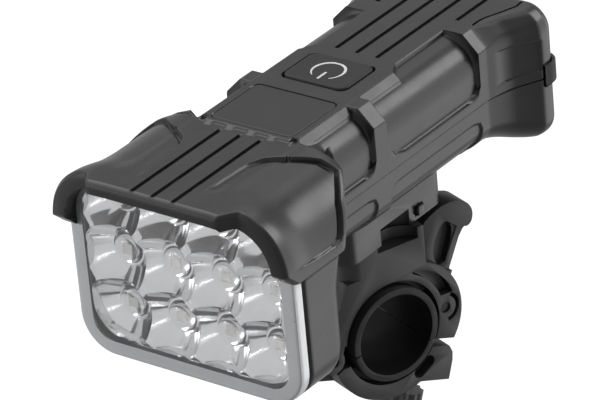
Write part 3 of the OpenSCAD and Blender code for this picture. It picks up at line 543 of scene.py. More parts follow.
def pressed_top(x, y, way):
    """Further height along the surface, in mm, negative where it is pressed in."""
    # The shoulder panel dips at its rear edge.
    rear = np.interp(way, [28.6, 34.6, 41.8, 43.4], [-43.2, -48.8, -52.8, -56])
    panel = soft(inward(shoulder, way, y), 0.5)
    height = -0.4 * panel * ease((y - rear + 1.6) / 1.4) * ease((way - 27) / 4)
    # A step with one soft side runs along its inner edge, and a groove along the rear of that edge.
    out = x - np.interp(y, [-73, -55.6, -51.4], [9.5, 10.4, 12.5])
    step = 0.4 * soft(out, 0.35) * (1 - ease((out - 0.3) / 4))
    height = height - step * ease((y + 74) / 6) * ease((-50 - y) / 3)
    edge = (np.interp(way, [10.4, 12.5, 23.7, 28.6], [-55.6, -51.4, -43.8, -43.2]) - 0.7 - y) * 0.83
    groove = 0.8 * soft(0.55 - np.abs(edge), 0.5)
    height = height - groove * ease((way - 11) / 2) * (1 - ease((way - 24) / 4))
    for at, first, last in groove_runs:
        inside = np.minimum((GROOVE_HALF - np.abs(x - at)) / GROOVE_EDGE + 0.5,
                            np.minimum(y - first, last - y) / 0.5)
        height = height - 0.84 * ease(inside)
    # The tail has a crease along the deck's edge and a recess in its side, and its end is round.
    crease = np.isin(np.arange(count), [parts[1] - 3, parts[1] - 2])
    height = height - 0.9 * crease * ease((y - 29.8) / 0.8)
    recess = 0.5 * ease((y - 30.5) / 4) * (1 - ease((y - 43.4) / 1.2))
    height = height - recess * ((band_z > 57.4) & (band_z < 67))
    height = height - tail_round(y)
    # The visor's front edge and the edge at the parting line are broken.
    height = height - 0.8 * np.clip(1 - (y - front) / 1.1, 0, 1)
    return height - 0.35 * ease((54.95 - ref_z) / 0.4)


def housing(x, y, z):
    """Heights after the display and button housing: sloping sides, toothed front, pocket and well."""
    out = np.abs(x)
    middle = out < 14.45
    top = HOUSING_Z - 0.85 * np.maximum(out - 14.4, 0)
    # Teeth stand out of its front, 6.35 mm apart.
    tooth = soft(1.03 - np.abs((x + 1.405) % 6.35 - 3.175), 0.4)
    start = -42.55 - 1.3 * tooth
    slope = FRONT_Z + (HOUSING_Z - FRONT_Z) * np.clip((y - start) / (HOUSING_Y - start), 0, 1)
    inside = (y < -0.6) & (out < 16.5) & ((y > HOUSING_Y) | ((y > -44) & middle))
    z = np.where(inside, np.maximum(z, np.where(middle, slope, top)), z)
    # A notch in each front corner, the window's pocket and the button's well are cut in.
    z = z - 1.0 * soft(box_in(out, y, 13.7, -41.3, 0.95, 0.85, 0.3), 0.3)
    z = z - 1.12 * soft(box_in(x, y, 0, WINDOW_Y, 12.47, 9.97, 1.6), 0.25)
    return z - 3.15 * soft(box_in(x, y, 0, BUTTON_Y, 9.86, 7.48, 2.3), 0.18)


def normals(x, y, z):
    """Unit normals of a grid of points that runs along the light and from the middle out to its right."""
    p = np.stack([x, y, z], -1)
    n = np.cross(np.gradient(p, axis=1), np.gradient(p, axis=0))
    return n / np.maximum(np.linalg.norm(n, axis=-1, keepdims=True), 1e-9)


# %% [markdown]
# Both shells end in a flat rear wall, outside and inside. Their halves are mirrored at the middle.

# %% Top shell
def both(half):
    """Left and right halves joined along the middle column, which they share."""
    left = half[:, :0:-1] * np.array([-1, 1, 1])
    return np.concatenate([left, half], 1)


def rear_wall(last, seam, steps):
    """The outer rear wall, from a shell's last row of points to the parting line."""
    x, _, z = np.moveaxis(last, -1, 0)
    z = z + (seam - z) * shares(steps)[:, None]
    return np.stack([x + 0 * z, TAIL + 0 * z, z], -1)


def closed_inside(hollow, y, seam):
    """The hidden inner skin with a rear wall of its own at that place."""
    last = hollow[-1:] * ACROSS + [0, y, 0]
    return np.concatenate([hollow, last, last * [1, 1, 0] + [0, 0, seam]])


along = ys[:, -1:]
*head, way = head_half(ys)
*low_head, _ = head_half(ys, 0.8)
w = neck(ys, np.broadcast_to(ref_z, ys.shape))
x, z = [h + (b - h) * w for h, b in zip(head, band_half(along))]
sunk_x, sunk_z = [h + (b - h) * w for h, b in zip(low_head, panel_half(along))]
n = normals(x, ys, z) * ACROSS
share = sunk_share(ys, way)
fine_x, fine_z = x + (sunk_x - x) * share, z + (sunk_z - z) * share
skin = np.stack([fine_x, ys, fine_z], -1) + n * pressed_top(x, ys, way)[..., None]
skin[:, 0, 0] = 0
skin[:, -1, 2] = TOP_SEAM
outer = both(np.concatenate([skin, rear_wall(skin[-1], TOP_SEAM, 15)]))
outer[:len(ys), :, 2] = housing(*np.moveaxis(outer[:len(ys)], -1, 0))

# The wall is 3.4 mm thick, more in the ears and under the button, and thin where the lens sits in it.
few = thinned(count, 3)
seat = len(lead) + 10
pick = np.r_[0:seat, seat:len(ys) - 12:4]
inner_y = np.minimum(ys[pick][:, few], 48.4)
thick = np.where(inner_y < -68.2, 0.75, 3.4)
thick = np.where(inner_y < -71.9, np.where(nose_x[few] < 19.8, 3.4, 4.3), thick)
thick = thick + 0.9 * ease((10 - np.abs(inner_y - BUTTON_Y)) / 2) * (nose_x[few] < 12)
hollow = np.stack([x[pick][:, few], inner_y, z[pick][:, few]], -1) - n[pick][:, few] * thick[..., None]
hollow[:, 0, 0] = 0
hollow[:, -1, 2] = TOP_SEAM
hollow = closed_inside(hollow, 48.5, TOP_SEAM)
top_shell = keep(shell("top_shell_moulding", outer, both(hollow), abs_black), "light", "top_shell")
print("top shell:", len(top_shell.data.polygons), "faces")

# %% [markdown]
# ## Bottom shell
# The lower casing carries the deep half of the head and the belly over the mount. It is lofted in the
# same way, from the parting line round to the middle of its floor. Its rear wall has the opening of
# the charging socket, which lies under the flap.

# %% Sections of the bottom shell
# The head below the parting line: half width, corner radius, floor and front, then the belly's corner
# radius and the lower end of the brim.
LOW_HALF, LOW_R, FLOOR_Z, LOW_FRONT, BELLY_R, BRIM_Z = 34, 10, 19, -68.2, 5.9, 49.7
brim = np.r_[LOW_SEAM, 54.4, 54.3, 54.15, 53.8, 53.3, 52.8, 52.3, 51.8, 51.3, 50.9, 50.5, 50.1, BRIM_Z]
cheek, bend, belly = shares(12), np.radians(90) * shares(16), shares(40)


def lower_half(y):
    """The raised lower body section, from the parting line to the middle of the belly."""
    width = tail_width(y) + 0.66 * proud(y)
    low = 41.8 - 5.0 * ease((y - 27.5) / 19)
    middle = width - BELLY_R
    xs = [width + 0 * brim, width + 0 * cheek, middle + BELLY_R * np.cos(bend), middle * (1 - belly)]
    zs = [brim * np.ones_like(y), BRIM_Z + (low + BELLY_R - BRIM_Z) * cheek,
          low + BELLY_R - BELLY_R * np.sin(bend), low + 0 * belly]
    return [np.concatenate(v, 1) for v in (xs, zs)]


middle, corner_z = LOW_HALF - LOW_R, FLOOR_Z + LOW_R
low_x = np.concatenate([LOW_HALF + 0.6 - 0.6 * np.clip((54.5 - brim) / 1.5, 0, 1), LOW_HALF + 0 * cheek,
                        middle + LOW_R * np.cos(bend), middle * (1 - belly)])
low_z = np.concatenate([brim, BRIM_Z - (BRIM_Z - corner_z) * cheek, corner_z - LOW_R * np.sin(bend),
                        FLOOR_Z + 0 * belly])
round_low = way_round(*[v[0] for v in lower_half(np.array([[0.0]]))])
knots = [LOW_FRONT, -67.6, -58, -42, -22, -20, -16, -14, 22, 25.4, 30.5, TAIL_START]
steps = [4, 10, 26, 22, 10, 8, 10, 40, 14, 14, 28]
low_rows = [np.linspace(a, b, n, endpoint=False) for a, b, n in zip(knots, knots[1:], steps)]
low_rows = np.concatenate(low_rows + [tail_rows])
yl = np.repeat(low_rows[:, None], len(low_x), 1)
begin = np.interp(-low_z, [-54.5, -45, -19], [-54.0, -57.0, -57.5])
w = ease((yl - begin) / (-42.5 - begin))
x, z = [h + (b - h) * w for h, b in zip((low_x, low_z), lower_half(yl[:, :1]))]
print("bottom shell has", len(low_x), "columns a side and", len(yl), "rows")

# %% Bottom shell
front_low = [(4.0, -46), (4.0, -24), (4.8, -21.7), (6.4, -21), (9.5, -21.6), (12.5, -24), (14, -28),
             (14, -46)]
rear_low = [(4.0, -12), (4.0, 21.6), (4.8, 24), (6.4, 24.7), (10, 24.2), (13, 22), (14, 18), (14, -10),
            (12, -14), (7, -15.2), (5, -14.4)]
n = normals(x, yl, z) * ACROSS
arc = np.broadcast_to(round_low, yl.shape)
height = -0.66 * np.maximum.reduce([soft(inward(p, arc, yl), 0.5) for p in (front_low, rear_low)])
# The edges at the parting line, at the tail and at the front are broken.
height = height - 0.3 * ease((low_z - 54.35) / 0.25)
height = height - tail_round(yl)
height = height - 0.5 * np.clip(1 - (yl - LOW_FRONT) / 0.6, 0, 1)
skin = np.stack([x, yl, z], -1) + n * height[..., None]
# The screws lie at the bottom of round wells.
for screw_x, screw_y in ((15, -37.5), (17.5, 40)):
    hole = soft(2.75 - np.hypot(skin[..., 0] - screw_x, skin[..., 1] - screw_y), 0.4) * (z < 44)
    skin[..., 2] += hole * np.maximum(42.86 - skin[..., 2], 0)
skin[:, -1, 0] = 0
skin[:, 0, 2] = LOW_SEAM
wall = rear_wall(skin[-1], LOW_SEAM, 36)
# The opening leaves 0.9 mm round the socket and ends 0.4 mm in front of its rear face.
socket_low, socket_high = [np.array(c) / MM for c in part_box("usb_socket")]
port = (socket_low + socket_high) / 2
port_half = (socket_high - socket_low) / 2 + 0.9
opening = box_in(wall[..., 0], wall[..., 2], port[0], port[2], port_half[0], port_half[2], 1.6)
wall[..., 1] -= (TAIL - socket_high[1] + 0.4) * soft(opening, 0.6)
outer = both(np.concatenate([skin, wall])[:, ::-1])
few = thinned(len(low_x), 3)
pick = np.r_[0:4, 4:len(yl) - 12:3]
hollow = np.stack([x, yl, z], -1)[pick][:, few] - (n * 2.3)[pick][:, few]
hollow[:, -1, 0] = 0
hollow[:, 0, 2] = LOW_SEAM
hollow = closed_inside(hollow, TAIL_START, LOW_SEAM)
bottom_shell = keep(shell("bottom_shell_moulding", outer, both(hollow[:, ::-1]), abs_black),
                    "light", "bottom_shell")
print("bottom shell:", len(bottom_shell.data.polygons), "faces; socket opening at", port.round(1))

# %% [markdown]
# ## Lens
# The front cover is a clear polycarbonate plate with rounded corners. Its border is etched from
# behind, so the seal and the edge of the reflector don't show. It is made as rings, each a rounded
# rectangle a little smaller than the last, which gives the front edge its true radius.

# %% Lens
LENS_TOP_R = 13.5


def ring(inset, y, half_x=34.0, half_z=26.1, r=10.0, mid=45.1, count=40, upper=None):
    """Points round a rectangle with rounded corners, set in by so many mm. The lens gives the sizes that
    aren't said, and upper is another radius for the upper corners."""
    out = []
    for cx, cz, start in ((1, 1, 0), (-1, 1, 90), (-1, -1, 180), (1, -1, 270)):
        rr = max((upper if upper and cz > 0 else r) - inset, 0.5)
        for k in range(count // 4 + 1):
            t = math.radians(start + 90 * k / (count // 4))
            out.append((cx * (half_x - inset - rr) + rr * math.cos(t), y,
                        mid + cz * (half_z - inset - rr) + rr * math.sin(t)))
    return out


levels = [(5.2, -68.9), (0.15, -68.9), (0, -69.05), (0, -70.9), (0.1, -71.3), (0.35, -71.6), (0.8, -71.78),
          (1.2, -71.8), (3.9, -71.8), (4.1, -71.8), (4.3, -71.72), (5.0, -71.72)]
loops = [ring(inset, y, upper=LENS_TOP_R) for inset, y in levels]
mesh = surface("lens_plate", *hoops(loops), clear_pc)
mesh.materials.append(etched_pc)
mesh.materials.append(painted_light_edge_pc)
# The faces lie ring by ring: first the rear, then the outer edge with its painted light, the etched border
# and the clear front.
for face in mesh.polygons:
    band = face.index // len(loops[0])
    face.material_index = 2 if 1 <= band < 5 else 1 if 5 <= band < 9 else 0
keep(mesh, "light", "front_lens")
loops = [ring(inset, y, upper=LENS_TOP_R)
         for inset, y in ((0.4, -68.75), (0.4, -68.35), (1.5, -68.35), (1.5, -68.75))]
seal = keep(surface("seal_ring", *hoops(loops, again=True), rubber_black), "light", "lens_seal")
print("lens:", len(mesh.polygons), "faces, seal:", len(seal.data.polygons))

# %% [markdown]
# ## Reflector
# Twelve chromed cups are moulded in one plate. Each is a paraboloid that would be 19 mm across, and
# they stand 15 mm apart, so neighbours cut into each other and leave thin bright ridges. The rule is
# simple, so the plate is a height field whose lines fall exactly on those ridges. The corners of the
# plate, and of the board behind it, are round to clear the casing's shoulders.

# %% Reflector
# The cups' pitch and middle height, their depth and radius; the plate's and the board's half sizes with
# the radius of their corners, and the plate's front.
PITCH, CUPS_Z, CUP_DEPTH, CUP_R = 15, 46, 7.9, 9.6
PLATE, BOARD, PLATE_Y = (31, 23, 10), (30.25, 22.25, 9), -68.55
line = PITCH / 36
grid_x = np.r_[-30.99, np.arange(-74, 75) * line, 30.99]
grid_z = CUPS_Z + np.r_[-22.98, np.arange(-55, 56) * line, 22.98]


def quarter(x, z, half_x, half_z, r):
    """Draws the corners of a grid in from a square to a quarter disc of that radius."""
    u = np.clip((np.abs(x) - half_x + r) / r, 0, 1)
    v = np.clip((np.abs(z - CUPS_Z) - half_z + r) / r, 0, 1)
    x = x - np.sign(x) * r * u * (1 - np.sqrt(1 - v * v / 2))
    return x, z - np.sign(z - CUPS_Z) * r * v * (1 - np.sqrt(1 - u * u / 2))


x, z = quarter(*np.meshgrid(grid_x, grid_z), *PLATE)
cup_x = np.clip(np.round(x / PITCH + 0.5), -1, 2) * PITCH - PITCH / 2
cup_z = CUPS_Z + np.clip(np.round((z - CUPS_Z) / PITCH), -1, 1) * PITCH
far = np.hypot(x - cup_x, z - cup_z)
bowl = np.maximum(0, CUP_DEPTH * (1 - (far / CUP_R) ** 2))
bowl[[0, -1]] = bowl[:, [0, -1]] = 0
y = PLATE_Y + np.minimum(bowl, 7.75)
rear = np.stack([x, np.full_like(y, -60.62), z], -1)
rear = rear[thinned(len(grid_z), 6)][:, thinned(len(grid_x), 6)]
mesh = shell("reflector_plate", np.stack([x, y, z], -1), rear, chrome)
# A plated flange closes the gap round the plate.
loops = [ring(1.6, y, upper=LENS_TOP_R) for y in (-68.6, -68.3)]
loops += [ring(0.05, y, *PLATE, CUPS_Z) for y in (-68.3, -68.6)]
flange = surface("flange", *hoops(loops, again=True), chrome)
work = bmesh.new()
work.from_mesh(mesh)
work.from_mesh(flange)
work.to_mesh(mesh)
work.free()
reflector = keep(mesh, "light", "reflector")
board_x, board_z = quarter(*np.meshgrid(np.linspace(-BOARD[0], BOARD[0], 31),
                                        CUPS_Z + np.linspace(-BOARD[1], BOARD[1], 23)), *BOARD)
faces = [np.stack([board_x, np.full_like(board_x, y), board_z], -1) for y in (-60.5, -58.9)]
keep(shell("led_board_rounded", *faces, white_mask), "light", "led_board")
print("reflector:", len(reflector.data.polygons), "faces, cups", round(float(bowl.max()), 2), "mm deep")

# %% [markdown]
# ## Light chips
# One chip sits at the bottom of each cup on a plated seat. The clear dome over it bends what the plating
# mirrors into small bright and dark patches. Twelve equal things in a grid are a job for Geometry Nodes:
# a grid of points carries the seat, the chip or the dome.

# %% Chips and domes
def open_tree(name, inputs):
    """A Geometry Nodes tree with these inputs, and the sockets that they come from."""
    tree = bpy.data.node_groups.new(name, "GeometryNodeTree")
    tree.interface.new_socket("Geometry", in_out="OUTPUT", socket_type="NodeSocketGeometry")
    for label, kind in inputs.items():
        tree.interface.new_socket(label, in_out="INPUT", socket_type="NodeSocket" + kind)
    return tree, add(tree, "NodeGroupInput").outputs


def close_tree(tree, shape, material):
    """Ends a tree: what it made becomes one mesh of one material."""
    real = add(tree, "GeometryNodeRealizeInstances", {"Geometry": shape})
    painted = add(tree, "GeometryNodeSetMaterial", {"Geometry": real, "Material": material})
    add(tree, "NodeGroupOutput", {"Geometry": painted})
    return tree


def chip_tree(name, shape, material):
    """A node tree that puts one shape on a grid of points, with its counts and pitch as inputs."""
    lengths = dict.fromkeys(("Pitch", "Width", "Height"), "Float")
    tree, feed = open_tree(name, {"Columns": "Int", "Rows": "Int", **lengths})
    wide, high = feed["Width"], feed["Height"]
    plan = {"Vertices X": feed["Columns"], "Vertices Y": feed["Rows"]}
    for label, number in (("Size X", "Columns"), ("Size Y", "Rows")):
        gaps = arithmetic(tree, "SUBTRACT", feed[number], 1.0)
        plan[label] = arithmetic(tree, "MULTIPLY", gaps, feed["Pitch"])
    grid = add(tree, "GeometryNodeMeshGrid", plan)
    spots = add(tree, "GeometryNodeMeshToPoints", {"Mesh": grid})
    if shape == "chip":
        tall = add(tree, "ShaderNodeCombineXYZ", {"X": wide, "Y": wide, "Z": high})
        one = add(tree, "GeometryNodeMeshCube", {"Size": tall, "Vertices X": 3, "Vertices Y": 3})
    elif shape == "base":
        rim = arithmetic(tree, "MULTIPLY", wide, 0.93)
        one = add(tree, "GeometryNodeMeshCone",
                  {"Vertices": 40, "Radius Top": rim, "Radius Bottom": wide, "Depth": high})
    else:
        ball = add(tree, "GeometryNodeMeshUVSphere", {"Segments": 24, "Rings": 14, "Radius": wide})
        flat = add(tree, "ShaderNodeCombineXYZ", {"X": 1.0, "Y": 1.0, "Z": high})
        one = add(tree, "GeometryNodeTransform", {"Geometry": ball, "Scale": flat})
    copies = add(tree, "GeometryNodeInstanceOnPoints", {"Points": spots, "Instance": one})
    return close_tree(tree, copies, material)


def grown(name, tree, values):
    """The plain mesh that a node tree gives for these inputs."""
    carrier = linked(name + "_carrier", bpy.data.meshes.new(name + "_carrier"))
    rule = carrier.modifiers.new("rule", "NODES")
    rule.node_group = tree
    for item in tree.interface.items_tree:
        if item.in_out == "INPUT" and item.name in values:
            rule[item.identifier] = values[item.name]
    return settled(carrier, name)


chip_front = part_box("led_chips")[0][1]
face_front = Matrix.Rotation(math.radians(90), 4, "X")
# Each shape has a width and a height in metres, and a place behind the front of the solid chips. The
# width of a seat or a dome is its radius, and a dome's height is a share of that.
for name, shape, material, width, height, behind in (
        ("light_chips", "chip", phosphor, 0.0022, 0.0006, -0.0003),
        ("chip_bases", "base", chrome, 0.0050, 0.0008, 0.0003),
        ("chip_domes", "dome", dome_silicone, 0.0043, 0.72, 0.0)):
    mesh = grown(name, chip_tree(name, shape, material),
                 {"Columns": 4, "Rows": 3, "Pitch": PITCH * MM, "Width": width, "Height": height})
    mesh.transform(Matrix.Translation((0, chip_front + behind, CUPS_Z * MM)) @ face_front)
    if shape == "dome":
        mesh.shade_smooth()
    if shape == "chip":
        keep(mesh, "light", "led_chips")
    else:
        keep(mesh, "light")
    print(name, len(mesh.polygons), "faces")

# %% [markdown]
# ## Button and window
# The button is a soft cap with a shallow dish for the finger and a printed power symbol. Its skirt is
# hidden, so only the cap is made, short enough to stay clear of the well's floor when it is pressed.

# %% Button cap and symbol
def plate_rings(levels, cy, half_x, half_y, r):
    """A lying plate from rings set in by so many mm at each height, closed at both ends."""
    flats = [(z, ring(inset, 0, half_x, half_y, r, 0, 48)) for inset, z in levels]
    return hoops([[(p[0], cy + p[2], z) for p in flat] for z, flat in flats])


cap = [(0.3, 71.8), (0, 72.0), (0, 73.75), (0.06, 73.95), (0.2, 74.15), (0.45, 74.27), (0.75, 74.3),
       (1.2, 74.28), (2.2, 74.2), (3.4, 74.15), (5.0, 74.13), (6.4, 74.12)]
cap_skin = plate_rings(cap, BUTTON_Y, 9.6, 7.2, 2.5)
button = keep(surface("power_button_cap", *cap_skin, soft_black), "button", "power_button")

# The symbol is an open arc that thins towards its ends, and a bar. Both start inside the cap.
ARC_R, ARC_WIDE, ARC_GAP, ARC_STEPS, BAR_HALF = 4.3, 0.72, 36, 60, 0.33
INK_LOW, INK_ARC, INK_BAR = 73.98, 74.18, 74.19
stations = []
for k in range(ARC_STEPS + 1):
    t = math.radians(-90 + ARC_GAP + (360 - 2 * ARC_GAP) * k / ARC_STEPS)
    half = ARC_WIDE * (0.35 + 0.65 * min(1, min(k, ARC_STEPS - k) / 14)) / 2
    section = [(ARC_R + half * s, z) for s, z in ((-1, INK_LOW), (-1, INK_ARC), (1, INK_ARC), (1, INK_LOW))]
    stations.append([(r * math.cos(t), BUTTON_Y + r * math.sin(t), z) for r, z in section])
bar = [[(BAR_HALF * s, BUTTON_Y + y, z) for s, y in ((-1, -0.9), (1, -0.9), (1, -5.2), (-1, -5.2))]
       for z in (INK_LOW, INK_BAR)]
ink = together([hoops(stations), hoops(bar)])
symbol = keep(surface("power_symbol", *ink, white_ink, 30), "button")
pane = [(0.2, 72.75), (0, 72.9), (0, 73.6), (0.06, 73.7), (0.18, 73.75), (0.6, 73.75), (6, 73.75)]
pane_skin = plate_rings(pane, WINDOW_Y, 12.3, 9.8, 1.5)
window = keep(surface("display_pane", *pane_skin, smoked), "light", "display_window")
for piece in (button, symbol, window):
    print(piece.name, len(piece.data.polygons), "faces")

# %% [markdown]
# ## Mount
# The base, the latch and the clamp keep their solids, but no moulding has knife edges. A copy of each
# solid is merged, its flat faces are joined, and the Bevel modifier rounds its sharp edges. The hooked
# lever and the lug are first rounded in outline, as the photograph shows them.

# %% Rounded copies of solids
# The bar is turned from X, and the clamp bolt leans, by these angles.
BAR_TURN, BOLT_LEAN = math.radians(20), math.radians(17)
bar_way = Vector((math.cos(BAR_TURN), -math.sin(BAR_TURN), 0))
bar_side = Vector((math.sin(BAR_TURN), math.cos(BAR_TURN), 0))


def rounded(node, body, material, width, cuts=0, region=None):
    """A copy of a solid with its sharp edges rounded by so many mm. Before that, the corners of its outline
    along the bar are cut so many times by a quarter of their sides, where region(h, z) in mm says so."""
    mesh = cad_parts[node].data.copy()
    mesh.transform(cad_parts[node].matrix_world)
    work = bmesh.new()
    work.from_mesh(mesh)
    bmesh.ops.remove_doubles(work, verts=work.verts, dist=2e-6)
    bmesh.ops.dissolve_limit(work, angle_limit=math.radians(1.0), verts=work.verts, edges=work.edges)
    for _ in range(cuts):
        picked = []
        for e in work.edges:
            way = e.verts[1].co - e.verts[0].co
            mid = (e.verts[1].co + e.verts[0].co) / 2 / MM
            along_bar = abs(way.dot(bar_way)) > 0.999 * way.length
            if along_bar and e.calc_face_angle(0) > 0.25 and region(mid.dot(bar_side), mid.z):
                picked.append(e)
        bmesh.ops.bevel(work, geom=picked, offset=25, offset_type="PERCENT", segments=1, profile=0.5,
                        affect="EDGES")
    work.to_mesh(mesh)
    work.free()
    mesh.materials.clear()
    mesh.materials.append(material)
    carrier = linked(node + "_carrier", mesh)
    bevel = carrier.modifiers.new("soft", "BEVEL")
    bevel.width, bevel.segments = width * MM, 3
    bevel.limit_method, bevel.angle_limit = "ANGLE", math.radians(32)
    bevel.use_clamp_overlap = True
    made = settled(carrier, node + "_rounded")
    soften(made)
    return keep(made, body, node)


mount = [("slide_base", "base", abs_black, 0.7), ("slide_latch", "latch", abs_black, 0.4),
         ("upper_jaw", "clamp", nylon_black, 0.5),
         ("lower_jaw", "lower_jaw", nylon_black, 0.5, 2, lambda h, z: h > 17.5),
         ("upper_liner", "clamp", liner_rubber, 0.25), ("lower_liner", "lower_jaw", liner_rubber, 0.25),
         ("lock_lever", "lever", nylon_black, 0.5, 2, lambda h, z: z > 11 and h > 14),
         ("mount_rail", "light", abs_black, 0.25)]
for job in mount:
    made = rounded(*job)
    print(made.name, len(made.data.polygons), "faces")
    if job[2] is liner_rubber:
        # The faces that look at the bar get the darker bore rubber: painted shade inside the bore.
        made.data.materials.append(painted_shade_bore_rubber)
        for face in made.data.polygons:
            middle = Vector(face.center)
            outwards = middle - bar_way * middle.dot(bar_way)
            face.material_index = int(face.normal.dot(outwards) < -0.5 * middle.length)

# %% [markdown]
# ## Port flap
# The charging socket is closed by a rubber strap that wraps round the rear right corner and ends in a
# finger tab. It is made as a ribbon: a small rounded section that follows a line in plan.

# %% Port flap
def ribbon(path, half, low, high):
    """A band of so many mm half thickness along a line in plan, between two heights, with rounded edges."""
    path = np.asarray(path, float)
    way = np.gradient(path, axis=0)
    side = np.stack([way[:, 1], -way[:, 0]], 1) / np.linalg.norm(way, axis=1, keepdims=True)
    loops = []
    for p, s, h in zip(path, side, np.broadcast_to(half, len(path))):
        flat = ring(0, 0, h, (high - low) / 2, min(0.4, 0.8 * h), (high + low) / 2, 16)
        loops.append([(p[0] + s[0] * q[0], p[1] + s[1] * q[0], q[2]) for q in flat])
    return hoops(loops)


# The strap's middle on the rear wall, and the middle and radius of the tail's corner in plan.
STRAP_Y, CORNER_X, CORNER_R = 51.3, 24.3, 4.1
flap_low, flap_high = [np.array(c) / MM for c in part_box("port_flap")]
# Round the corner the strap keeps its inner side on the casing, and it thins out towards its end.
turns = np.radians(np.linspace(0, 90, 13))
thin = np.r_[np.interp(turns, [0, 0.7, 1.571], [0.69, 0.6, 0.36]), 0.3, 0.22, 0.12]
corner = [(CORNER_X + (CORNER_R + h) * math.sin(t), TAIL_START + (CORNER_R + h) * math.cos(t))
          for t, h in zip(turns, thin)]
lid = [(flap_low[0] + 0.05, STRAP_Y), (0, STRAP_Y), (14, STRAP_Y)]
strap = [(13, STRAP_Y)] + corner + [(28.7, 46.0), (28.62, 45.2), (28.52, 44.2)]
plug = [(-5, 50.15), (4, 50.15)]
flap_skin = together([ribbon(lid, 0.7, flap_low[2], flap_high[2]),
                      ribbon(strap, np.r_[0.69, thin], 52.4, flap_high[2]), ribbon(plug, 0.5, 47.9, 51.9)])
flap = keep(surface("port_flap_strap", *flap_skin, liner_rubber), "flap", "port_flap")
print("flap:", len(flap.data.polygons), "faces, solid", flap_low.round(1), flap_high.round(1))

# %% [markdown]
# ## Thumb nut
# The nut under the lug is turned by hand, so its rim is fluted. A cylinder whose radius follows a wave
# is a rule, and Geometry Nodes give it with the number and depth of the flutes as inputs.

# %% Thumb nut
def nut_tree():
    """A fluted knob about its own axis, from its radius, height, flute count and flute depth."""
    tree, feed = open_tree("fluted_knob", dict.fromkeys(("Radius", "Height", "Flutes", "Depth"), "Float"))
    drum = add(tree, "GeometryNodeMeshCylinder",
               {"Vertices": 144, "Side Segments": 4, "Radius": feed["Radius"], "Depth": feed["Height"]})
    where = add(tree, "GeometryNodeInputPosition")
    split = add(tree, "ShaderNodeSeparateXYZ", {0: where}).outputs
    angle = arithmetic(tree, "ARCTAN2", split["Y"], split["X"])
    wave = arithmetic(tree, "COSINE", arithmetic(tree, "MULTIPLY", angle, feed["Flutes"]))
    depth = arithmetic(tree, "MULTIPLY", arithmetic(tree, "SUBTRACT", wave, 1.0), feed["Depth"])
    out = add(tree, "ShaderNodeVectorMath", {0: where, 1: (1, 1, 0)}, operation="MULTIPLY")
    unit = add(tree, "ShaderNodeVectorMath", {0: out}, operation="NORMALIZE")
    push = add(tree, "ShaderNodeVectorMath", {0: unit, "Scale": depth}, operation="SCALE")
    fluted = add(tree, "GeometryNodeSetPosition", {"Geometry": drum, "Offset": push})
    return close_tree(tree, fluted, nylon_black)


# The bolt hangs from a pivot this far behind the bar's middle and above it, in mm.
PIVOT_H, PIVOT_Z = 16.3, 1.2
nut = grown("thumb_nut_fluted", nut_tree(),
            {"Radius": 0.0055, "Height": 0.007, "Flutes": 12.0, "Depth": 0.0003})
axis = Vector((-math.sin(BOLT_LEAN) * math.sin(BAR_TURN), -math.sin(BOLT_LEAN) * math.cos(BAR_TURN),
               -math.cos(BOLT_LEAN)))
pivot = Vector((PIVOT_H * math.sin(BAR_TURN), PIVOT_H * math.cos(BAR_TURN), PIVOT_Z)) * MM
low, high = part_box("thumb_nut")
down = ((Vector(low) + Vector(high)) / 2 - pivot).dot(axis)
nut.transform(Matrix.Translation(pivot + axis * down) @ axis.to_track_quat("Z", "Y").to_matrix().to_4x4())
soften(nut)
keep(nut, "nut", "thumb_nut")
print("thumb nut:", len(nut.polygons), "faces,", round(down / MM, 1), "mm down the bolt")

# %% [markdown]
# ## Solids that show as they are
# Pins, screws, boards and cells have the right shape already. They only get the finish of what they
# are made of.

# %% Finishes of the other solids
for material, nodes in (
        (aluminium, ["heat_sink"]), (sleeve, ["battery_cells"]), (green_mask, ["main_board", "port_board"]),
        (grey_abs, ["display_module", "tact_switch", "battery_cradle"]),
        (black_steel, ["hinge_pin", "pivot_pin"]),
        (steel, ["usb_socket", "shell_screws", "rail_screws", "swivel_screw", "swivel_washer", "swivel_nut",
                 "clamp_bolt"])):
    for node in nodes:
        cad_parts[node].data.materials.clear()
        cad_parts[node].data.materials.append(material)
print("painted the remaining solids")

# %% [markdown]
# ## Studio
# The photograph is a product shot on white. The floor and the world show white to the camera. For all
# other rays the world is an even grey with five soft patches, like softboxes round a table: a strong
# one behind on the right draws the bright band along the shoulders, a wide one lights the right side,
# and three small ones lift the deck, the far edges and the cups. Two weak lamps fill the shadows.

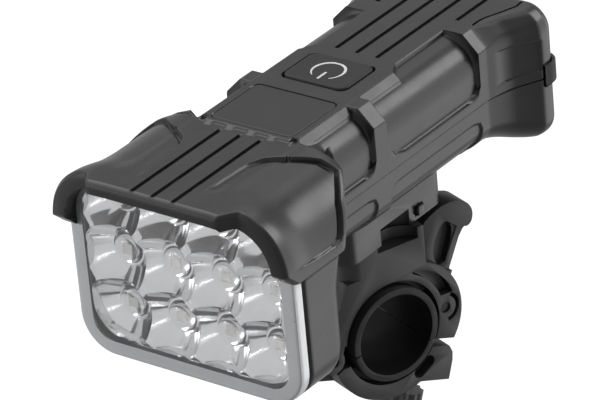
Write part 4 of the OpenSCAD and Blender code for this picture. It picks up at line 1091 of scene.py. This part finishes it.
# %% Floor, world and lamps
# The floor's half size and its distance under the object, in metres, and the even grey of the world.
FLOOR_HALF, FLOOR_GAP, GREY = 6, 0.0005, 0.62
floor_z = float(min(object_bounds()[0][2], solid_box[0][2])) - FLOOR_GAP
mesh = bpy.data.meshes.new("floor")
mesh.from_pydata([(FLOOR_HALF * a, FLOOR_HALF * b, floor_z) for a, b in ((-1, -1), (1, -1), (1, 1), (-1, 1))],
                 [], [(0, 1, 2, 3)])
floor = linked("floor", mesh)
paper = bpy.data.materials.new("white_paper_sweep")
tree = empty_tree(paper)
seen = add(tree, "ShaderNodeLightPath").outputs["Is Camera Ray"]
light = add(tree, "ShaderNodeEmission", {"Strength": seen})
matt = add(tree, "ShaderNodeBsdfDiffuse", {"Color": (0.8, 0.8, 0.8, 1)})
mixed = add(tree, "ShaderNodeMixShader", {0: 0.8, 1: matt, 2: light})
add(tree, "ShaderNodeOutputMaterial", {"Surface": mixed})
mesh.materials.append(paper)
floor.visible_glossy = False
floor.visible_transmission = False

# Each patch has a direction, the cosines at its rim and its core, and a strength.
patches = [((0.47, 0.69, 0.55), 0.957, 0.984, 7.0), ((0.71, 0.69, -0.12), 0.74, 0.88, 1.8),
           ((-0.25, 0.69, 0.68), 0.94, 0.985, 0.8), ((-0.55, 0.15, 0.82), 0.87, 0.965, 3.2),
           ((-0.70, -0.64, 0.31), 0.94, 0.985, 2.2)]
world = bpy.data.worlds.new("studio")
bpy.context.scene.world = world
tree = empty_tree(world)
seen = add(tree, "ShaderNodeLightPath").outputs["Is Camera Ray"]
spot = add(tree, "ShaderNodeTexCoord").outputs["Generated"]
total = GREY
for towards, rim, core, power in patches:
    aim = add(tree, "ShaderNodeVectorMath", {0: spot, 1: towards}, operation="DOT_PRODUCT")
    glow = add(tree, "ShaderNodeMapRange", interpolation_type="SMOOTHSTEP", inputs={
        "Value": aim.outputs["Value"], "From Min": rim, "From Max": core, "To Min": 0.0, "To Max": power})
    total = arithmetic(tree, "ADD", total, glow)
strength = add(tree, "ShaderNodeMix", {0: seen, 2: total, 3: 1.0}, data_type="FLOAT")
back = add(tree, "ShaderNodeBackground", {"Color": (1, 1, 1, 1), "Strength": strength})
add(tree, "ShaderNodeOutputWorld", {"Surface": back})


def lamp(name, place, aim, size, power):
    """A soft square lamp that looks at a point."""
    data = bpy.data.lights.new(name, "AREA")
    data.shape, data.size, data.energy = "SQUARE", size, power
    made = linked(name, data)
    made.location = place
    made.rotation_euler = (Vector(aim) - Vector(place)).to_track_quat("-Z", "Y").to_euler()
    return made


lamp("roof_softbox", (0.1, 0.25, 0.9), (0, 0, 0.05), 0.8, 3)
lamp("front_lamp", (-0.62, -0.64, 0.33), (0, -0.07, 0.05), 0.2, 16).visible_glossy = False
print("floor at", round(floor_z / MM, 1), "mm")
